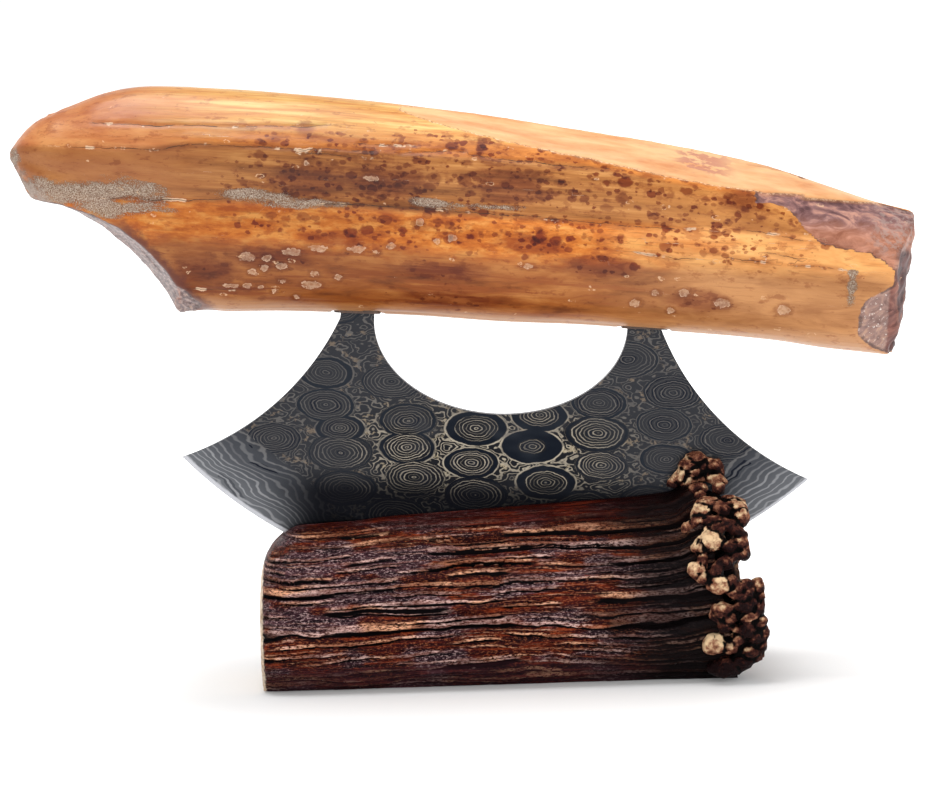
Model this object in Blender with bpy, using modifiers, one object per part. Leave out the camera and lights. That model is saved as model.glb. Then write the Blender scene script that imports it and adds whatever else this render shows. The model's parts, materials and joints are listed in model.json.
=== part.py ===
"""An ulu, the round-edged knife of the Arctic, standing in a holder cut from an antler.

The blade is one plate with a round cutting edge, a finger gap and two tangs. The handle is a
length of old ivory with a mortise for each tang, filled with adhesive that keys through a hole
in the tang. The holder is the foot of an antler with its burr: a kerf sawn along its crest
takes the edge, and its underside is ground flat.

Metres, +Z up. The origin is the middle of the ground base, the blade lies in the plane y = 0,
and the front of the knife faces -Y. The knife's own frame has its origin at the centre of the
cutting edge's arc, because the knife rocks about that point.
"""

import math
import random

import bmesh
import bpy
from mathutils import Matrix, Vector

# Clearance between touching pieces, how far a cutter runs past what it cuts, and how close
# two points lie that are one
SEAT_GAP = 0.0003
OVERRUN = 0.006
MERGE_GAP = 0.00001

# Blade
BLADE_WIDTH = 0.1535
EDGE_RADIUS = 0.113
PLATE_THICKNESS = 0.003
EDGE_THICKNESS = 0.0003
BEVEL_WIDTH = 0.011
NECK_HEIGHT = 0.0355
WAIST_RADIUS = 0.0664
GAP_WIDTH = 0.0618
GAP_DEPTH = 0.0222
TANG_WIDTH = 0.0083
TANG_TIP_WIDTH = 0.0062
TANG_LENGTH = 0.02
TANG_CORNER_RADIUS = 0.0012
KEY_HOLE_DIAMETER = 0.003

# Adhesive around each tang
BED_WALL = 0.0015
BED_CORNER_RADIUS = 0.0014
BED_RECESS = 0.0008

# Handle
HANDLE_LENGTH = 0.2207
HANDLE_HEIGHT = 0.0536
HANDLE_DEPTH = 0.036
HANDLE_LEFT_REACH = 0.121
HANDLE_SLOPE = math.radians(1.1)
SCOOP_DIAMETER = 0.104
SCOOP_LEFT_REACH = 0.1245
SCOOP_DROP = 0.0255
SCOOP_LEAN = math.radians(8)

# Holder
STAND_LENGTH = 0.1205
STAND_LEFT_REACH = 0.0527
STAND_HEIGHT = 0.0418
STAND_DEPTH = 0.046
BASE_GRIND = 0.005
KERF_WIDTH = 0.0037
KERF_DEPTH = 0.021
RIDGE_RELIEF = 0.0007
BURR_HEIGHT = 0.0505
BURR_DEPTH = 0.052
BURR_REACH = 0.0585
BURR_WIDTH = 0.013
BURR_LEAN = 0.009
PEARL_DIAMETER = 0.0105

# Where the knife stands in the holder
KNIFE_TILT = math.radians(3.87)
KNIFE_SHIFT = 0.011

# How finely the round shapes are drawn
EDGE_STEPS = 240
ARC_STEPS = 18
HOLE_STEPS = 24
CORNER_STEPS = 3
SECTION_POINTS = 30
BURR_STEPS = 14
SHARP_ANGLE = math.radians(30)

# The antler's ridges: how many run round it, how far they sway, in ridges, how often they do
# so along the antler, and how far they drift round it from end to end
RIDGES = 46
RIDGE_SWAY = 0.5
RIDGE_WAVES = 1.3
RIDGE_DRIFT = 0.8

# The pearls on the back of the burr: rows of them, and how unlike they are
ROWS_BEHIND = 3
PEARLS_PER_ROW = 6
PEARL_SEED = 7
PEARL_SCATTER_SHARE = 0.12
LEAST_PEARL_SHARE = 0.6

# The handle from its pointed end to its broken end: share of the length, then crown and
# underside as shares of the height, then share of the depth
HANDLE_STATION_SHARES = (
    (0.000, 0.67, 0.62, 0.20),
    (0.007, 0.71, 0.57, 0.36),
    (0.018, 0.77, 0.49, 0.50),
    (0.036, 0.83, 0.40, 0.63),
    (0.063, 0.88, 0.28, 0.75),
    (0.095, 0.94, 0.17, 0.84),
    (0.131, 0.98, 0.09, 0.91),
    (0.177, 1.00, -0.01, 0.96),
    (0.231, 1.00, -0.02, 0.99),
    (0.300, 0.99, 0.00, 1.00),
    (0.370, 0.98, 0.01, 1.00),
    (0.460, 0.96, 0.01, 1.00),
    (0.550, 0.93, 0.00, 1.00),
    (0.640, 0.89, 0.01, 1.00),
    (0.710, 0.86, 0.01, 0.99),
    (0.770, 0.83, 0.01, 0.98),
    (0.815, 0.80, 0.00, 0.97),
    (0.860, 0.75, -0.01, 0.95),
    (0.905, 0.70, -0.02, 0.93),
    (0.950, 0.65, -0.03, 0.90),
    (1.000, 0.61, -0.04, 0.86),
)

# Lengthwise swells and flutes of the handle: place and width as shares of the section's
# height from the crown, then rise as a share of its depth, for the front and the back
FRONT_FLUTE_SHARES = ((0.27, 0.12, 0.12), (0.51, 0.09, -0.16))
BACK_FLUTE_SHARES = ((0.35, 0.15, 0.05), (0.60, 0.10, -0.08))

# Flat and broken faces of the handle: a point as shares of its length, depth and height,
# and the direction the face looks in
HANDLE_FACE_SHARES = {
    "crown_flat": ((0.797, -0.417, 0.679), (0.112, -0.356, 0.928)),
    "end_break": ((0.991, 0.000, 0.287), (0.989, -0.080, -0.129)),
    "end_chip": ((0.936, -0.394, 0.235), (0.578, -0.714, -0.395)),
    "crown_chip": ((0.893, -0.403, 0.560), (0.170, -0.814, 0.556)),
    "corner_chip": ((0.205, -0.139, 0.035), (-0.420, -0.390, -0.820)),
}

# The holder from its sawn end to its foot: share of the length, shares of the height above
# the base and of the depth, then how far it swells into the burr
STAND_STATION_SHARES = (
    (0.000, 0.66, 0.80, 0.00),
    (0.006, 0.73, 0.88, 0.00),
    (0.018, 0.80, 0.93, 0.00),
    (0.040, 0.87, 0.97, 0.00),
    (0.065, 0.92, 0.99, 0.00),
    (0.120, 0.94, 1.00, 0.00),
    (0.190, 0.95, 1.00, 0.00),
    (0.260, 0.97, 1.00, 0.00),
    (0.330, 0.98, 1.00, 0.00),
    (0.400, 0.99, 1.00, 0.00),
    (0.470, 1.00, 1.00, 0.00),
    (0.540, 1.01, 1.00, 0.00),
    (0.610, 1.02, 1.00, 0.00),
    (0.680, 1.03, 1.00, 0.00),
    (0.750, 1.04, 1.00, 0.00),
    (0.810, 1.05, 1.00, 0.05),
    (0.850, 1.05, 1.00, 0.20),
    (0.880, 1.05, 1.00, 0.60),
    (0.910, 1.05, 1.00, 0.95),
    (0.945, 1.05, 1.00, 1.00),
    (0.980, 1.05, 1.00, 0.75),
    (1.000, 1.00, 0.95, 0.20),
)

# Pearls of the burr that show from the front: share of the burr's width from its inner
# side, share of its height from the base, and share of the pearls' diameter
PEARL_SHARES = (
    (0.55, 0.99, 0.55),
    (0.36, 0.96, 0.60),
    (0.12, 0.92, 0.50),
    (0.86, 0.97, 0.55),
    (0.95, 0.90, 0.45),
    (0.52, 0.89, 0.50),
    (0.60, 0.81, 0.80),
    (0.88, 0.80, 0.60),
    (1.12, 0.77, 0.75),
    (0.42, 0.75, 0.50),
    (0.13, 0.69, 0.45),
    (0.40, 0.71, 0.50),
    (0.66, 0.70, 0.50),
    (0.50, 0.62, 0.80),
    (1.08, 0.61, 0.65),
    (0.85, 0.62, 0.60),
    (0.17, 0.47, 0.60),
    (0.95, 0.54, 0.50),
    (0.54, 0.41, 0.60),
    (1.16, 0.41, 0.55),
    (0.88, 0.39, 0.55),
    (0.44, 0.28, 0.75),
    (0.86, 0.28, 0.60),
    (1.14, 0.22, 0.65),
    (0.62, 0.20, 0.55),
    (0.24, 0.11, 0.90),
    (0.83, 0.08, 0.85),
    (0.52, 0.08, 0.60),
)

# How much of a pearl's radius stands out of the antler
PEARL_SHOW_SHARE = 0.75

TIP_DROP = math.sqrt(EDGE_RADIUS**2 - (BLADE_WIDTH / 2) ** 2)
NECK_DROP = TIP_DROP - NECK_HEIGHT
TANG_REACH = (GAP_WIDTH + TANG_WIDTH) / 2
KERF_FLOOR = STAND_HEIGHT - KERF_DEPTH
LONGEST = 2 * HANDLE_LENGTH


# Scene and collections


def clear_scene():
    for thing in list(bpy.data.objects):
        bpy.data.objects.remove(thing, do_unlink=True)


def collection(name):
    group = bpy.data.collections.new(name)
    bpy.context.scene.collection.children.link(group)
    return group


def add_object(name, data, group, parent=None):
    thing = bpy.data.objects.new(name, data)
    group.objects.link(thing)
    thing.parent = parent
    return thing


def add_cutter(name, data, parent=None):
    cutter = add_object(name, data, CUTTERS, parent)
    cutter.hide_render = True
    cutter.display_type = "WIRE"
    return cutter


# Shapes


def mesh_from(name, build):
    """A mesh filled in by a function that draws into an empty bmesh."""
    mesh = bpy.data.meshes.new(name)
    shape = bmesh.new()
    build(shape)
    bmesh.ops.recalc_face_normals(shape, faces=shape.faces)
    shape.to_mesh(mesh)
    shape.free()
    return mesh


def box_mesh(name, low, high, corner=0.0):
    """A box between two corners, with its upright edges rounded."""
    size = Vector(high) - Vector(low)
    middle = (Vector(high) + Vector(low)) / 2

    def build(shape):
        place = Matrix.Translation(middle) @ Matrix.Diagonal((*size, 1))
        bmesh.ops.create_cube(shape, size=1, matrix=place)
        upright = [
            edge for edge in shape.edges if abs(edge.verts[0].co.z - edge.verts[1].co.z) > size.z / 2
        ]
        if corner:
            bmesh.ops.bevel(
                shape, geom=upright, offset=corner, segments=CORNER_STEPS, profile=0.5, affect="EDGES"
            )

    return mesh_from(name, build)


def rod_mesh(name, diameter, length, place, steps=HOLE_STEPS):
    """A rod along Y, centred on a place."""

    def build(shape):
        turn = Matrix.Translation(place) @ Matrix.Rotation(math.pi / 2, 4, "X")
        bmesh.ops.create_cone(
            shape,
            cap_ends=True,
            segments=steps,
            radius1=diameter / 2,
            radius2=diameter / 2,
            depth=length,
            matrix=turn,
        )

    return mesh_from(name, build)


def loft_mesh(name, sections):
    """A closed skin over rings of points that all have the same count."""

    def build(shape):
        rings = [[shape.verts.new(point) for point in section] for section in sections]
        count = len(rings[0])
        for first, second in zip(rings, rings[1:]):
            for index in range(count):
                after = (index + 1) % count
                shape.faces.new((first[index], first[after], second[after], second[index]))
        for ring in (rings[0], rings[-1]):
            middle = shape.verts.new(sum((vert.co for vert in ring), Vector()) / count)
            for index in range(count):
                shape.faces.new((ring[index], ring[(index + 1) % count], middle))

    return mesh_from(name, build)


def arc_points(centre, radius_x, radius_z, start, end):
    """Points in the knife's plane along an arc, both ends included."""
    points = []
    for step in range(ARC_STEPS + 1):
        angle = start + (end - start) * step / ARC_STEPS
        x = centre[0] + radius_x * math.cos(angle)
        z = centre[1] + radius_z * math.sin(angle)
        points.append((x, z))
    return points


def plate_mesh(name, outline, thickness):
    """A flat plate with this outline, in the plane y = 0 of its frame."""
    curve = bpy.data.curves.new(name, "CURVE")
    curve.dimensions = "2D"
    curve.fill_mode = "BOTH"
    curve.extrude = thickness / 2
    spline = curve.splines.new("POLY")
    spline.points.add(len(outline) - 1)
    for point, (x, z) in zip(spline.points, outline):
        point.co = (x, z, 0, 1)
    spline.use_cyclic_u = True
    source = add_object(name + "_outline", curve, CUTTERS)
    bpy.context.view_layer.update()
    drawn = source.evaluated_get(bpy.context.evaluated_depsgraph_get())
    mesh = bpy.data.meshes.new_from_object(drawn)
    bpy.data.objects.remove(source, do_unlink=True)
    mesh.transform(Matrix.Rotation(math.pi / 2, 4, "X"))
    shape = bmesh.new()
    shape.from_mesh(mesh)
    bmesh.ops.remove_doubles(shape, verts=shape.verts, dist=MERGE_GAP)
    bmesh.ops.recalc_face_normals(shape, faces=shape.faces)
    shape.to_mesh(mesh)
    shape.free()
    return mesh


def cut(piece, cutter, operation="DIFFERENCE"):
    boolean = piece.modifiers.new(cutter.name, "BOOLEAN")
    boolean.operation = operation
    boolean.solver = "EXACT"
    boolean.object = cutter


def half_space(name, point, facing, parent):
    """A cutter that takes away everything in front of a plane."""
    mesh = box_mesh(name, (-LONGEST, -LONGEST, 0), (LONGEST, LONGEST, LONGEST))
    cutter = add_cutter(name, mesh, parent)
    cutter.rotation_mode = "QUATERNION"
    cutter.rotation_quaternion = Vector((0, 0, 1)).rotation_difference(Vector(facing))
    cutter.location = point
    return cutter


# Materials


def material(name, colour, roughness, metallic=0.0):
    finish = bpy.data.materials.new(name)
    finish.use_nodes = True
    shader = finish.node_tree.nodes["Principled BSDF"]
    shader.inputs["Base Color"].default_value = (*colour, 1)
    shader.inputs["Roughness"].default_value = roughness
    shader.inputs["Metallic"].default_value = metallic
    return finish


# Blade


def waist_centre():
    """The centre of the hollow arc from the right tip up to the right tang."""
    tip = Vector((BLADE_WIDTH / 2, -TIP_DROP))
    neck = Vector((GAP_WIDTH / 2 + TANG_WIDTH, -NECK_DROP))
    chord = neck - tip
    rise = math.sqrt(WAIST_RADIUS**2 - chord.length_squared / 4)
    outward = Vector((chord.y, -chord.x)).normalized()
    return (tip + neck) / 2 + outward * rise


def tang_tip(grow=0.0):
    """The rounded end of the right tang, from its outer to its inner side, grown all round."""
    inner = GAP_WIDTH / 2 - grow
    outer = GAP_WIDTH / 2 + TANG_TIP_WIDTH + grow
    top = -NECK_DROP + TANG_LENGTH + grow
    corner = TANG_CORNER_RADIUS
    points = []
    for middle, start in ((outer - corner, 0), (inner + corner, math.pi / 2)):
        for step in range(CORNER_STEPS + 1):
            angle = start + math.pi / 2 * step / CORNER_STEPS
            points.append((middle + corner * math.cos(angle), top - corner + corner * math.sin(angle)))
    return points


def tang_room(side):
    """The outline of the room that a tang takes in its adhesive, open below."""
    foot = -NECK_DROP - OVERRUN
    inner = GAP_WIDTH / 2 - SEAT_GAP
    outer = GAP_WIDTH / 2 + TANG_WIDTH + SEAT_GAP
    outline = [(outer, foot), (outer, -NECK_DROP)] + tang_tip(SEAT_GAP) + [(inner, foot)]
    return [(side * x, z) for x, z in outline]


def blade_outline():
    """The plate before its edge is ground: it runs past the round edge all along."""
    centre = waist_centre()
    past_tip = Vector((BLADE_WIDTH / 2 + OVERRUN, 0))
    drop = math.sqrt(WAIST_RADIUS**2 - (past_tip.x - centre.x) ** 2)
    low = math.atan2(-drop, past_tip.x - centre.x)
    neck = math.atan2(-NECK_DROP - centre.y, GAP_WIDTH / 2 + TANG_WIDTH - centre.x)
    waist = arc_points(centre, WAIST_RADIUS, WAIST_RADIUS, low, neck)
    right = [(past_tip.x, -EDGE_RADIUS - OVERRUN)] + waist + tang_tip()
    gap = arc_points((0, -NECK_DROP), GAP_WIDTH / 2, GAP_DEPTH, 0, -math.pi)
    left = [(-x, z) for x, z in reversed(right)]
    return right + gap + left


def grinding_cone():
    """The double cone whose skin is both ground faces of the edge."""
    half_edge = EDGE_THICKNESS / 2
    rise = half_edge + EDGE_RADIUS * (PLATE_THICKNESS - EDGE_THICKNESS) / 2 / BEVEL_WIDTH
    profile = ((0, rise), (EDGE_RADIUS, half_edge), (EDGE_RADIUS, -half_edge), (0, -rise))
    mesh = bpy.data.meshes.new("edge_cone")
    mesh.from_pydata([(x, 0, z) for x, z in profile], [(0, 1), (1, 2), (2, 3)], [])
    cone = add_cutter("edge_cone", mesh, KNIFE)
    cone.rotation_euler = (math.pi / 2, 0, 0)
    screw = cone.modifiers.new("turn", "SCREW")
    screw.axis = "Z"
    screw.steps = EDGE_STEPS
    screw.render_steps = EDGE_STEPS
    screw.use_merge_vertices = True
    screw.merge_threshold = MERGE_GAP
    return cone


def key_hole(side):
    """The centre of the hole through a tang that the adhesive keys into."""
    return Vector((side * (GAP_WIDTH + TANG_TIP_WIDTH) / 2, 0, -NECK_DROP + TANG_LENGTH / 2))


def make_blade():
    plate = plate_mesh("blade", blade_outline(), PLATE_THICKNESS)
    blade = add_object("blade", plate, PARTS, KNIFE)
    cut(blade, grinding_cone(), "INTERSECT")
    through = PLATE_THICKNESS + OVERRUN
    for side, label in SIDES:
        hole = rod_mesh(label + "_key_hole", KEY_HOLE_DIAMETER, through, key_hole(side))
        cut(blade, add_cutter(label + "_key_hole", hole, KNIFE))
    steel = material("pattern_welded_steel", (0.085, 0.085, 0.09), 0.32, 1.0)
    blade.data.materials.append(steel)


# Adhesive


def bed_box(name, side, grow=0.0):
    """The block of adhesive round a tang, grown all round to cut its mortise."""
    mouth = -NECK_DROP - side * TANG_REACH * math.tan(HANDLE_SLOPE)
    inner = GAP_WIDTH / 2 - BED_WALL - grow
    outer = GAP_WIDTH / 2 + TANG_WIDTH + BED_WALL + grow
    half_depth = PLATE_THICKNESS / 2 + BED_WALL + grow
    top = -NECK_DROP + TANG_LENGTH + BED_WALL + grow
    bottom = mouth - OVERRUN if grow else mouth + BED_RECESS
    low_x, high_x = sorted((side * inner, side * outer))
    corner = BED_CORNER_RADIUS + grow
    return box_mesh(name, (low_x, -half_depth, bottom), (high_x, half_depth, top), corner)


def make_bed(side, label):
    """The adhesive in one mortise, with the plug that runs through the tang's hole."""
    name = label + "_tang_epoxy"
    bed = add_object(name, bed_box(name, side), PARTS, KNIFE)
    tang = plate_mesh(label + "_tang_room", tang_room(side), PLATE_THICKNESS + 2 * SEAT_GAP)
    room = add_cutter(label + "_tang_room", tang, KNIFE)
    plug_width = KEY_HOLE_DIAMETER - 2 * SEAT_GAP
    plug = rod_mesh(label + "_plug", plug_width, PLATE_THICKNESS + OVERRUN, key_hole(side))
    cut(room, add_cutter(label + "_plug", plug, KNIFE))
    cut(bed, room)
    bed.data.materials.append(material(name, (0.03, 0.022, 0.016), 0.4))


# Handle


def flute_rise(flutes, down_share):
    """How much fuller than an oval the handle is at this share of its height."""
    return sum(rise * math.exp(-(((down_share - place) / width) ** 2)) for place, width, rise in flutes)


def handle_section(station):
    """One ring of the handle, in the handle's frame."""
    along, crown, under, depth = station
    x = along * HANDLE_LENGTH - HANDLE_LEFT_REACH
    points = []
    for index in range(SECTION_POINTS):
        angle = math.tau * (index + 0.5) / SECTION_POINTS
        down_share = (1 - math.cos(angle)) / 2
        flutes = FRONT_FLUTE_SHARES if angle < math.pi else BACK_FLUTE_SHARES
        reach = math.sin(angle) * (1 + flute_rise(flutes, down_share))
        y = -reach * depth * HANDLE_DEPTH / 2
        z = (crown + (under - crown) * down_share) * HANDLE_HEIGHT
        points.append((x, y, z))
    return points


def cut_handle_faces(handle, frame):
    for name, (shares, facing) in HANDLE_FACE_SHARES.items():
        point = (
            shares[0] * HANDLE_LENGTH - HANDLE_LEFT_REACH,
            shares[1] * HANDLE_DEPTH,
            shares[2] * HANDLE_HEIGHT,
        )
        cut(handle, half_space(name, point, facing, frame))


def cut_scoop(handle, frame):
    """The hollow break under the pointed end, wider at the front than at the back."""
    length = HANDLE_DEPTH + 2 * OVERRUN
    rod = rod_mesh("left_scoop", SCOOP_DIAMETER, length, (0, 0, 0), EDGE_STEPS)
    scoop = add_cutter("left_scoop", rod, frame)
    scoop.location = (-SCOOP_LEFT_REACH, 0, -SCOOP_DROP)
    scoop.rotation_euler = (-SCOOP_LEAN, 0, SCOOP_LEAN)
    cut(handle, scoop)


def make_handle():
    frame = add_object("handle_frame", None, PARTS, KNIFE)
    frame.location = (0, 0, -NECK_DROP)
    frame.rotation_euler = (0, HANDLE_SLOPE, 0)
    rings = [handle_section(row) for row in HANDLE_STATION_SHARES]
    handle = add_object("handle", loft_mesh("handle", rings), PARTS, frame)
    cut_scoop(handle, frame)
    cut_handle_faces(handle, frame)
    for side, label in SIDES:
        mortise = bed_box(label + "_mortise", side, SEAT_GAP)
        cut(handle, add_cutter(label + "_mortise", mortise, KNIFE))
    handle.data.materials.append(material("fossil_ivory", (0.50, 0.24, 0.075), 0.28))


# Holder


def burr_lean(along, z):
    """How far the burr and the foot lean towards the sawn end at this height."""
    grown = (along * STAND_LENGTH - STAND_LEFT_REACH - BURR_REACH) / BURR_WIDTH + 1
    return max(0, min(1, grown)) * BURR_LEAN * (0.5 - z / BURR_HEIGHT)


def antler_size(along):
    """Crest height and half depth of the antler at this share of its length."""
    along = min(along, 1)
    stretches = zip(STAND_STATION_SHARES, STAND_STATION_SHARES[1:])
    before, after = next((row, beyond) for row, beyond in stretches if along <= beyond[0])
    blend = (along - before[0]) / (after[0] - before[0])
    height, depth, burr = (a + (b - a) * blend for a, b in zip(before[1:], after[1:]))
    top = (1 - burr) * height * STAND_HEIGHT + burr * BURR_HEIGHT
    half_depth = ((1 - burr) * depth * STAND_DEPTH + burr * BURR_DEPTH) / 2
    return top, half_depth


def beam_point(along, angle, relief=0.0):
    """A point on the antler's skin, its burr leaning, before any pearl."""
    top, half_depth = antler_size(along)
    half_height = (top + BASE_GRIND) / 2
    y = -(half_depth + relief) * math.sin(angle)
    z = top - half_height + (half_height + relief) * math.cos(angle)
    x = along * STAND_LENGTH - STAND_LEFT_REACH + burr_lean(along, z)
    return Vector((x, y, z))


def burr_pearls():
    """The knobs' centres and radii: placed on the front, scattered on the back."""
    chance = random.Random(PEARL_SEED)
    places = [(across, up, size, 1) for across, up, size in PEARL_SHARES]
    for row in range(ROWS_BEHIND):
        for index in range(PEARLS_PER_ROW):
            up = (index + (row + 1) / (ROWS_BEHIND + 1)) / PEARLS_PER_ROW
            across = row / (ROWS_BEHIND - 1) + PEARL_SCATTER_SHARE * chance.uniform(-1, 1)
            places.append((across, up, chance.uniform(LEAST_PEARL_SHARE, 1), -1))
    pearls = []
    for across, up, size, side in places:
        x = BURR_REACH + (across - 0.5) * BURR_WIDTH
        along = min(1, (x + STAND_LEFT_REACH) / STAND_LENGTH)
        top = antler_size(along)[0]
        rise = (up * top - (top - BASE_GRIND) / 2) / ((top + BASE_GRIND) / 2)
        angle = side * math.acos(max(-1, min(1, rise)))
        pearls.append((beam_point(along, angle), size * PEARL_DIAMETER / 2))
    return pearls


def pearl_rise(point, pearls):
    """How far the fullest pearl at this point stands out of the skin."""
    rise = 0
    for centre, radius in pearls:
        apart = (point - centre).length_squared
        if apart < radius**2:
            rise = max(rise, math.sqrt(radius**2 - apart) - (1 - PEARL_SHOW_SHARE) * radius)
    return rise


def stand_section(along, pearls):
    """One ring of the antler, alternately on the crest and in the groove of a ridge."""
    wander = RIDGE_SWAY * math.sin(math.tau * along * RIDGE_WAVES) + RIDGE_DRIFT * along
    points = []
    for index in range(2 * RIDGES):
        angle = math.pi * (index + wander) / RIDGES
        groove = -RIDGE_RELIEF if index % 2 else 0
        rise = pearl_rise(beam_point(along, angle), pearls)
        points.append(beam_point(along, angle, rise if rise else groove))
    return points


def stand_stations():
    """Where the antler's rings lie, close together along the burr."""
    first = (BURR_REACH - BURR_WIDTH + STAND_LEFT_REACH) / STAND_LENGTH
    beam = [row[0] for row in STAND_STATION_SHARES if row[0] < first]
    return beam + [first + (1 - first) * step / BURR_STEPS for step in range(BURR_STEPS + 1)]


def make_stand():
    pearls = burr_pearls()
    rings = [stand_section(along, pearls) for along in stand_stations()]
    stand = add_object("antler_stand", loft_mesh("antler_stand", rings), PARTS)
    cut(stand, half_space("base_grind", (0, 0, 0), (0, 0, -1), None))
    side = KERF_WIDTH / 2
    kerf = box_mesh("kerf", (-LONGEST, -side, KERF_FLOOR), (LONGEST, side, LONGEST))
    cut(stand, add_cutter("kerf", kerf))
    stand.data.materials.append(material("stained_antler", (0.16, 0.055, 0.03), 0.38))


def make_knife_frame():
    """The centre of the edge's arc, above the kerf's floor that the edge stands on."""
    knife = add_object("knife_frame", None, PARTS)
    knife.location = (KNIFE_SHIFT, 0, KERF_FLOOR + SEAT_GAP + EDGE_RADIUS)
    knife.rotation_euler = (0, KNIFE_TILT, 0)
    return knife


def shade_round(piece):
    piece.data.shade_smooth()
    piece.data.set_sharp_from_angle(angle=SHARP_ANGLE)


SIDES = ((-1, "left"), (1, "right"))

clear_scene()
PARTS = collection("ulu_knife")
CUTTERS = collection("cutters")
KNIFE = make_knife_frame()
make_stand()
make_blade()
make_handle()
for side, label in SIDES:
    make_bed(side, label)
for piece in PARTS.objects:
    if piece.type == "MESH":
        shade_round(piece)
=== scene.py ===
"""The looks of an ulu in its antler holder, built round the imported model.

The shapes are worked out in millimetres, each in the frame of what carries it, and a finished
piece is scaled to the model's metres. The handle's frame has its X along the underside from the
pointed end to the broken one, and its front faces -Y. The knife's frame has its origin at the
centre of the cutting edge's arc. The holder is built in the model's own frame.
"""

import itertools
import json
import math
import random

import bmesh
import bpy
import numpy as np
from mathutils import Matrix, Vector
from mathutils.bvhtree import BVHTree

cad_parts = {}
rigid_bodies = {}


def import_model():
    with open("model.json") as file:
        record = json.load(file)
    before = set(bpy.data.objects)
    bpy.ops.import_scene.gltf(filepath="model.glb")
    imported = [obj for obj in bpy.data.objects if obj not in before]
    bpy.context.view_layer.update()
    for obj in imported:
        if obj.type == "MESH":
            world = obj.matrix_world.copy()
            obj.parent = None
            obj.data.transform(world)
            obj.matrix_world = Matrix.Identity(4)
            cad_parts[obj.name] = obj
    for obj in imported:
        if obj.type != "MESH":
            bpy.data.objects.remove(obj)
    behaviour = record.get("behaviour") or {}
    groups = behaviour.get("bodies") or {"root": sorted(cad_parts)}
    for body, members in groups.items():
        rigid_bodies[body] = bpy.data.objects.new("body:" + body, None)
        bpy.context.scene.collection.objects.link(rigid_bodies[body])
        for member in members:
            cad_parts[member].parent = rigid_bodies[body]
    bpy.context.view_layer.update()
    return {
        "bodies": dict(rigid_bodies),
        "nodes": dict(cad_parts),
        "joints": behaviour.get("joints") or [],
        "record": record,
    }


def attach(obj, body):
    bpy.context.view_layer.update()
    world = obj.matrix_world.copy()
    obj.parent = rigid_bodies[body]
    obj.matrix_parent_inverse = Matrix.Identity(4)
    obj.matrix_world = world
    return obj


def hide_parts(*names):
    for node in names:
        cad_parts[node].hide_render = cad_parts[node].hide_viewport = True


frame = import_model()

MM = 0.001

# The photograph's view, with its eye and its middle in the plane of the blade
CAMERA_DISTANCE = 900.0
CAMERA_RISE = math.radians(6)
CAMERA_ROLL = math.radians(1.8)
PICTURE_WIDTH = 229.6
PICTURE_CENTRE = (-0.4, 0.0, 69.0)
EYE = np.array(PICTURE_CENTRE) + CAMERA_DISTANCE * np.array(
    (0, -math.cos(CAMERA_RISE), math.sin(CAMERA_RISE))
)

# Where the knife stands: its edge's arc above the kerf's floor, and its tilt
EDGE_RADIUS = 113.0
KERF_FLOOR = 20.8
SEAT_GAP = 0.3
KNIFE_SHIFT = 11.0
KNIFE_TILT = math.radians(3.87)

# Blade
BLADE_WIDTH = 153.5
PLATE_THICKNESS = 3.0
EDGE_THICKNESS = 0.3
BEVEL_WIDTH = 11.0
NECK_HEIGHT = 35.5
WAIST_RADIUS = 66.4
GAP_WIDTH = 61.8
GAP_DEPTH = 22.2
TANG_WIDTH = 8.3
TANG_TIP_WIDTH = 6.2
TANG_LENGTH = 20.0
PLATE_ROUNDING = 0.12
SHARP_ANGLE = math.radians(4)
ROUNDED_ANGLE = math.radians(40)
EDGE_POINTS = 900
ARC_STEPS = 64
OVERRUN = 6.0
TIP_DROP = math.sqrt(EDGE_RADIUS**2 - (BLADE_WIDTH / 2) ** 2)
NECK_DROP = TIP_DROP - NECK_HEIGHT

# Adhesive beds
BED_WALL = 1.5

# Handle
HANDLE_LENGTH = 220.7
HANDLE_HEIGHT = 53.6
HANDLE_DEPTH = 36.0
HANDLE_LEFT_REACH = 121.0
HANDLE_SLOPE = math.radians(1.1)
SCOOP_RADIUS = 47.3
SCOOP_CENTRE = (-119.9, -22.9)
SCOOP_LEAN = 0.31
HANDLE_RINGS = 200
HANDLE_POINTS = 96
HANDLE_VOXEL = 0.65
FACE_STEP = 1.1
SCOOP_POINTS = 220
SCOOP_RINGS = 40

# Holder
STAND_LENGTH = 120.5
STAND_LEFT_REACH = 52.7
STAND_HEIGHT = 41.8
STAND_DEPTH = 46.0
BASE_GRIND = 5.0
KERF_WIDTH = 3.7
BURR_HEIGHT = 50.5
BURR_DEPTH = 52.0
BURR_REACH = 58.5
BURR_WIDTH = 13.0
BURR_LEAN = 9.0
STAND_RINGS = 140
STAND_POINTS = 570
BEAM_END_SHARE = 0.92
RIM_RINGS = 25
RIM_SHARE = 0.07
KERF_POINTS = 8
KNOB_VOXEL = 0.5
BURR_VOXEL = 0.42
FLANGE_RINGS = 24
FLANGE_POINTS = 120
FLANGE_SHARE = 0.93
FLANGE_START = 52.0
FLANGE_SINK = 3.0

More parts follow.
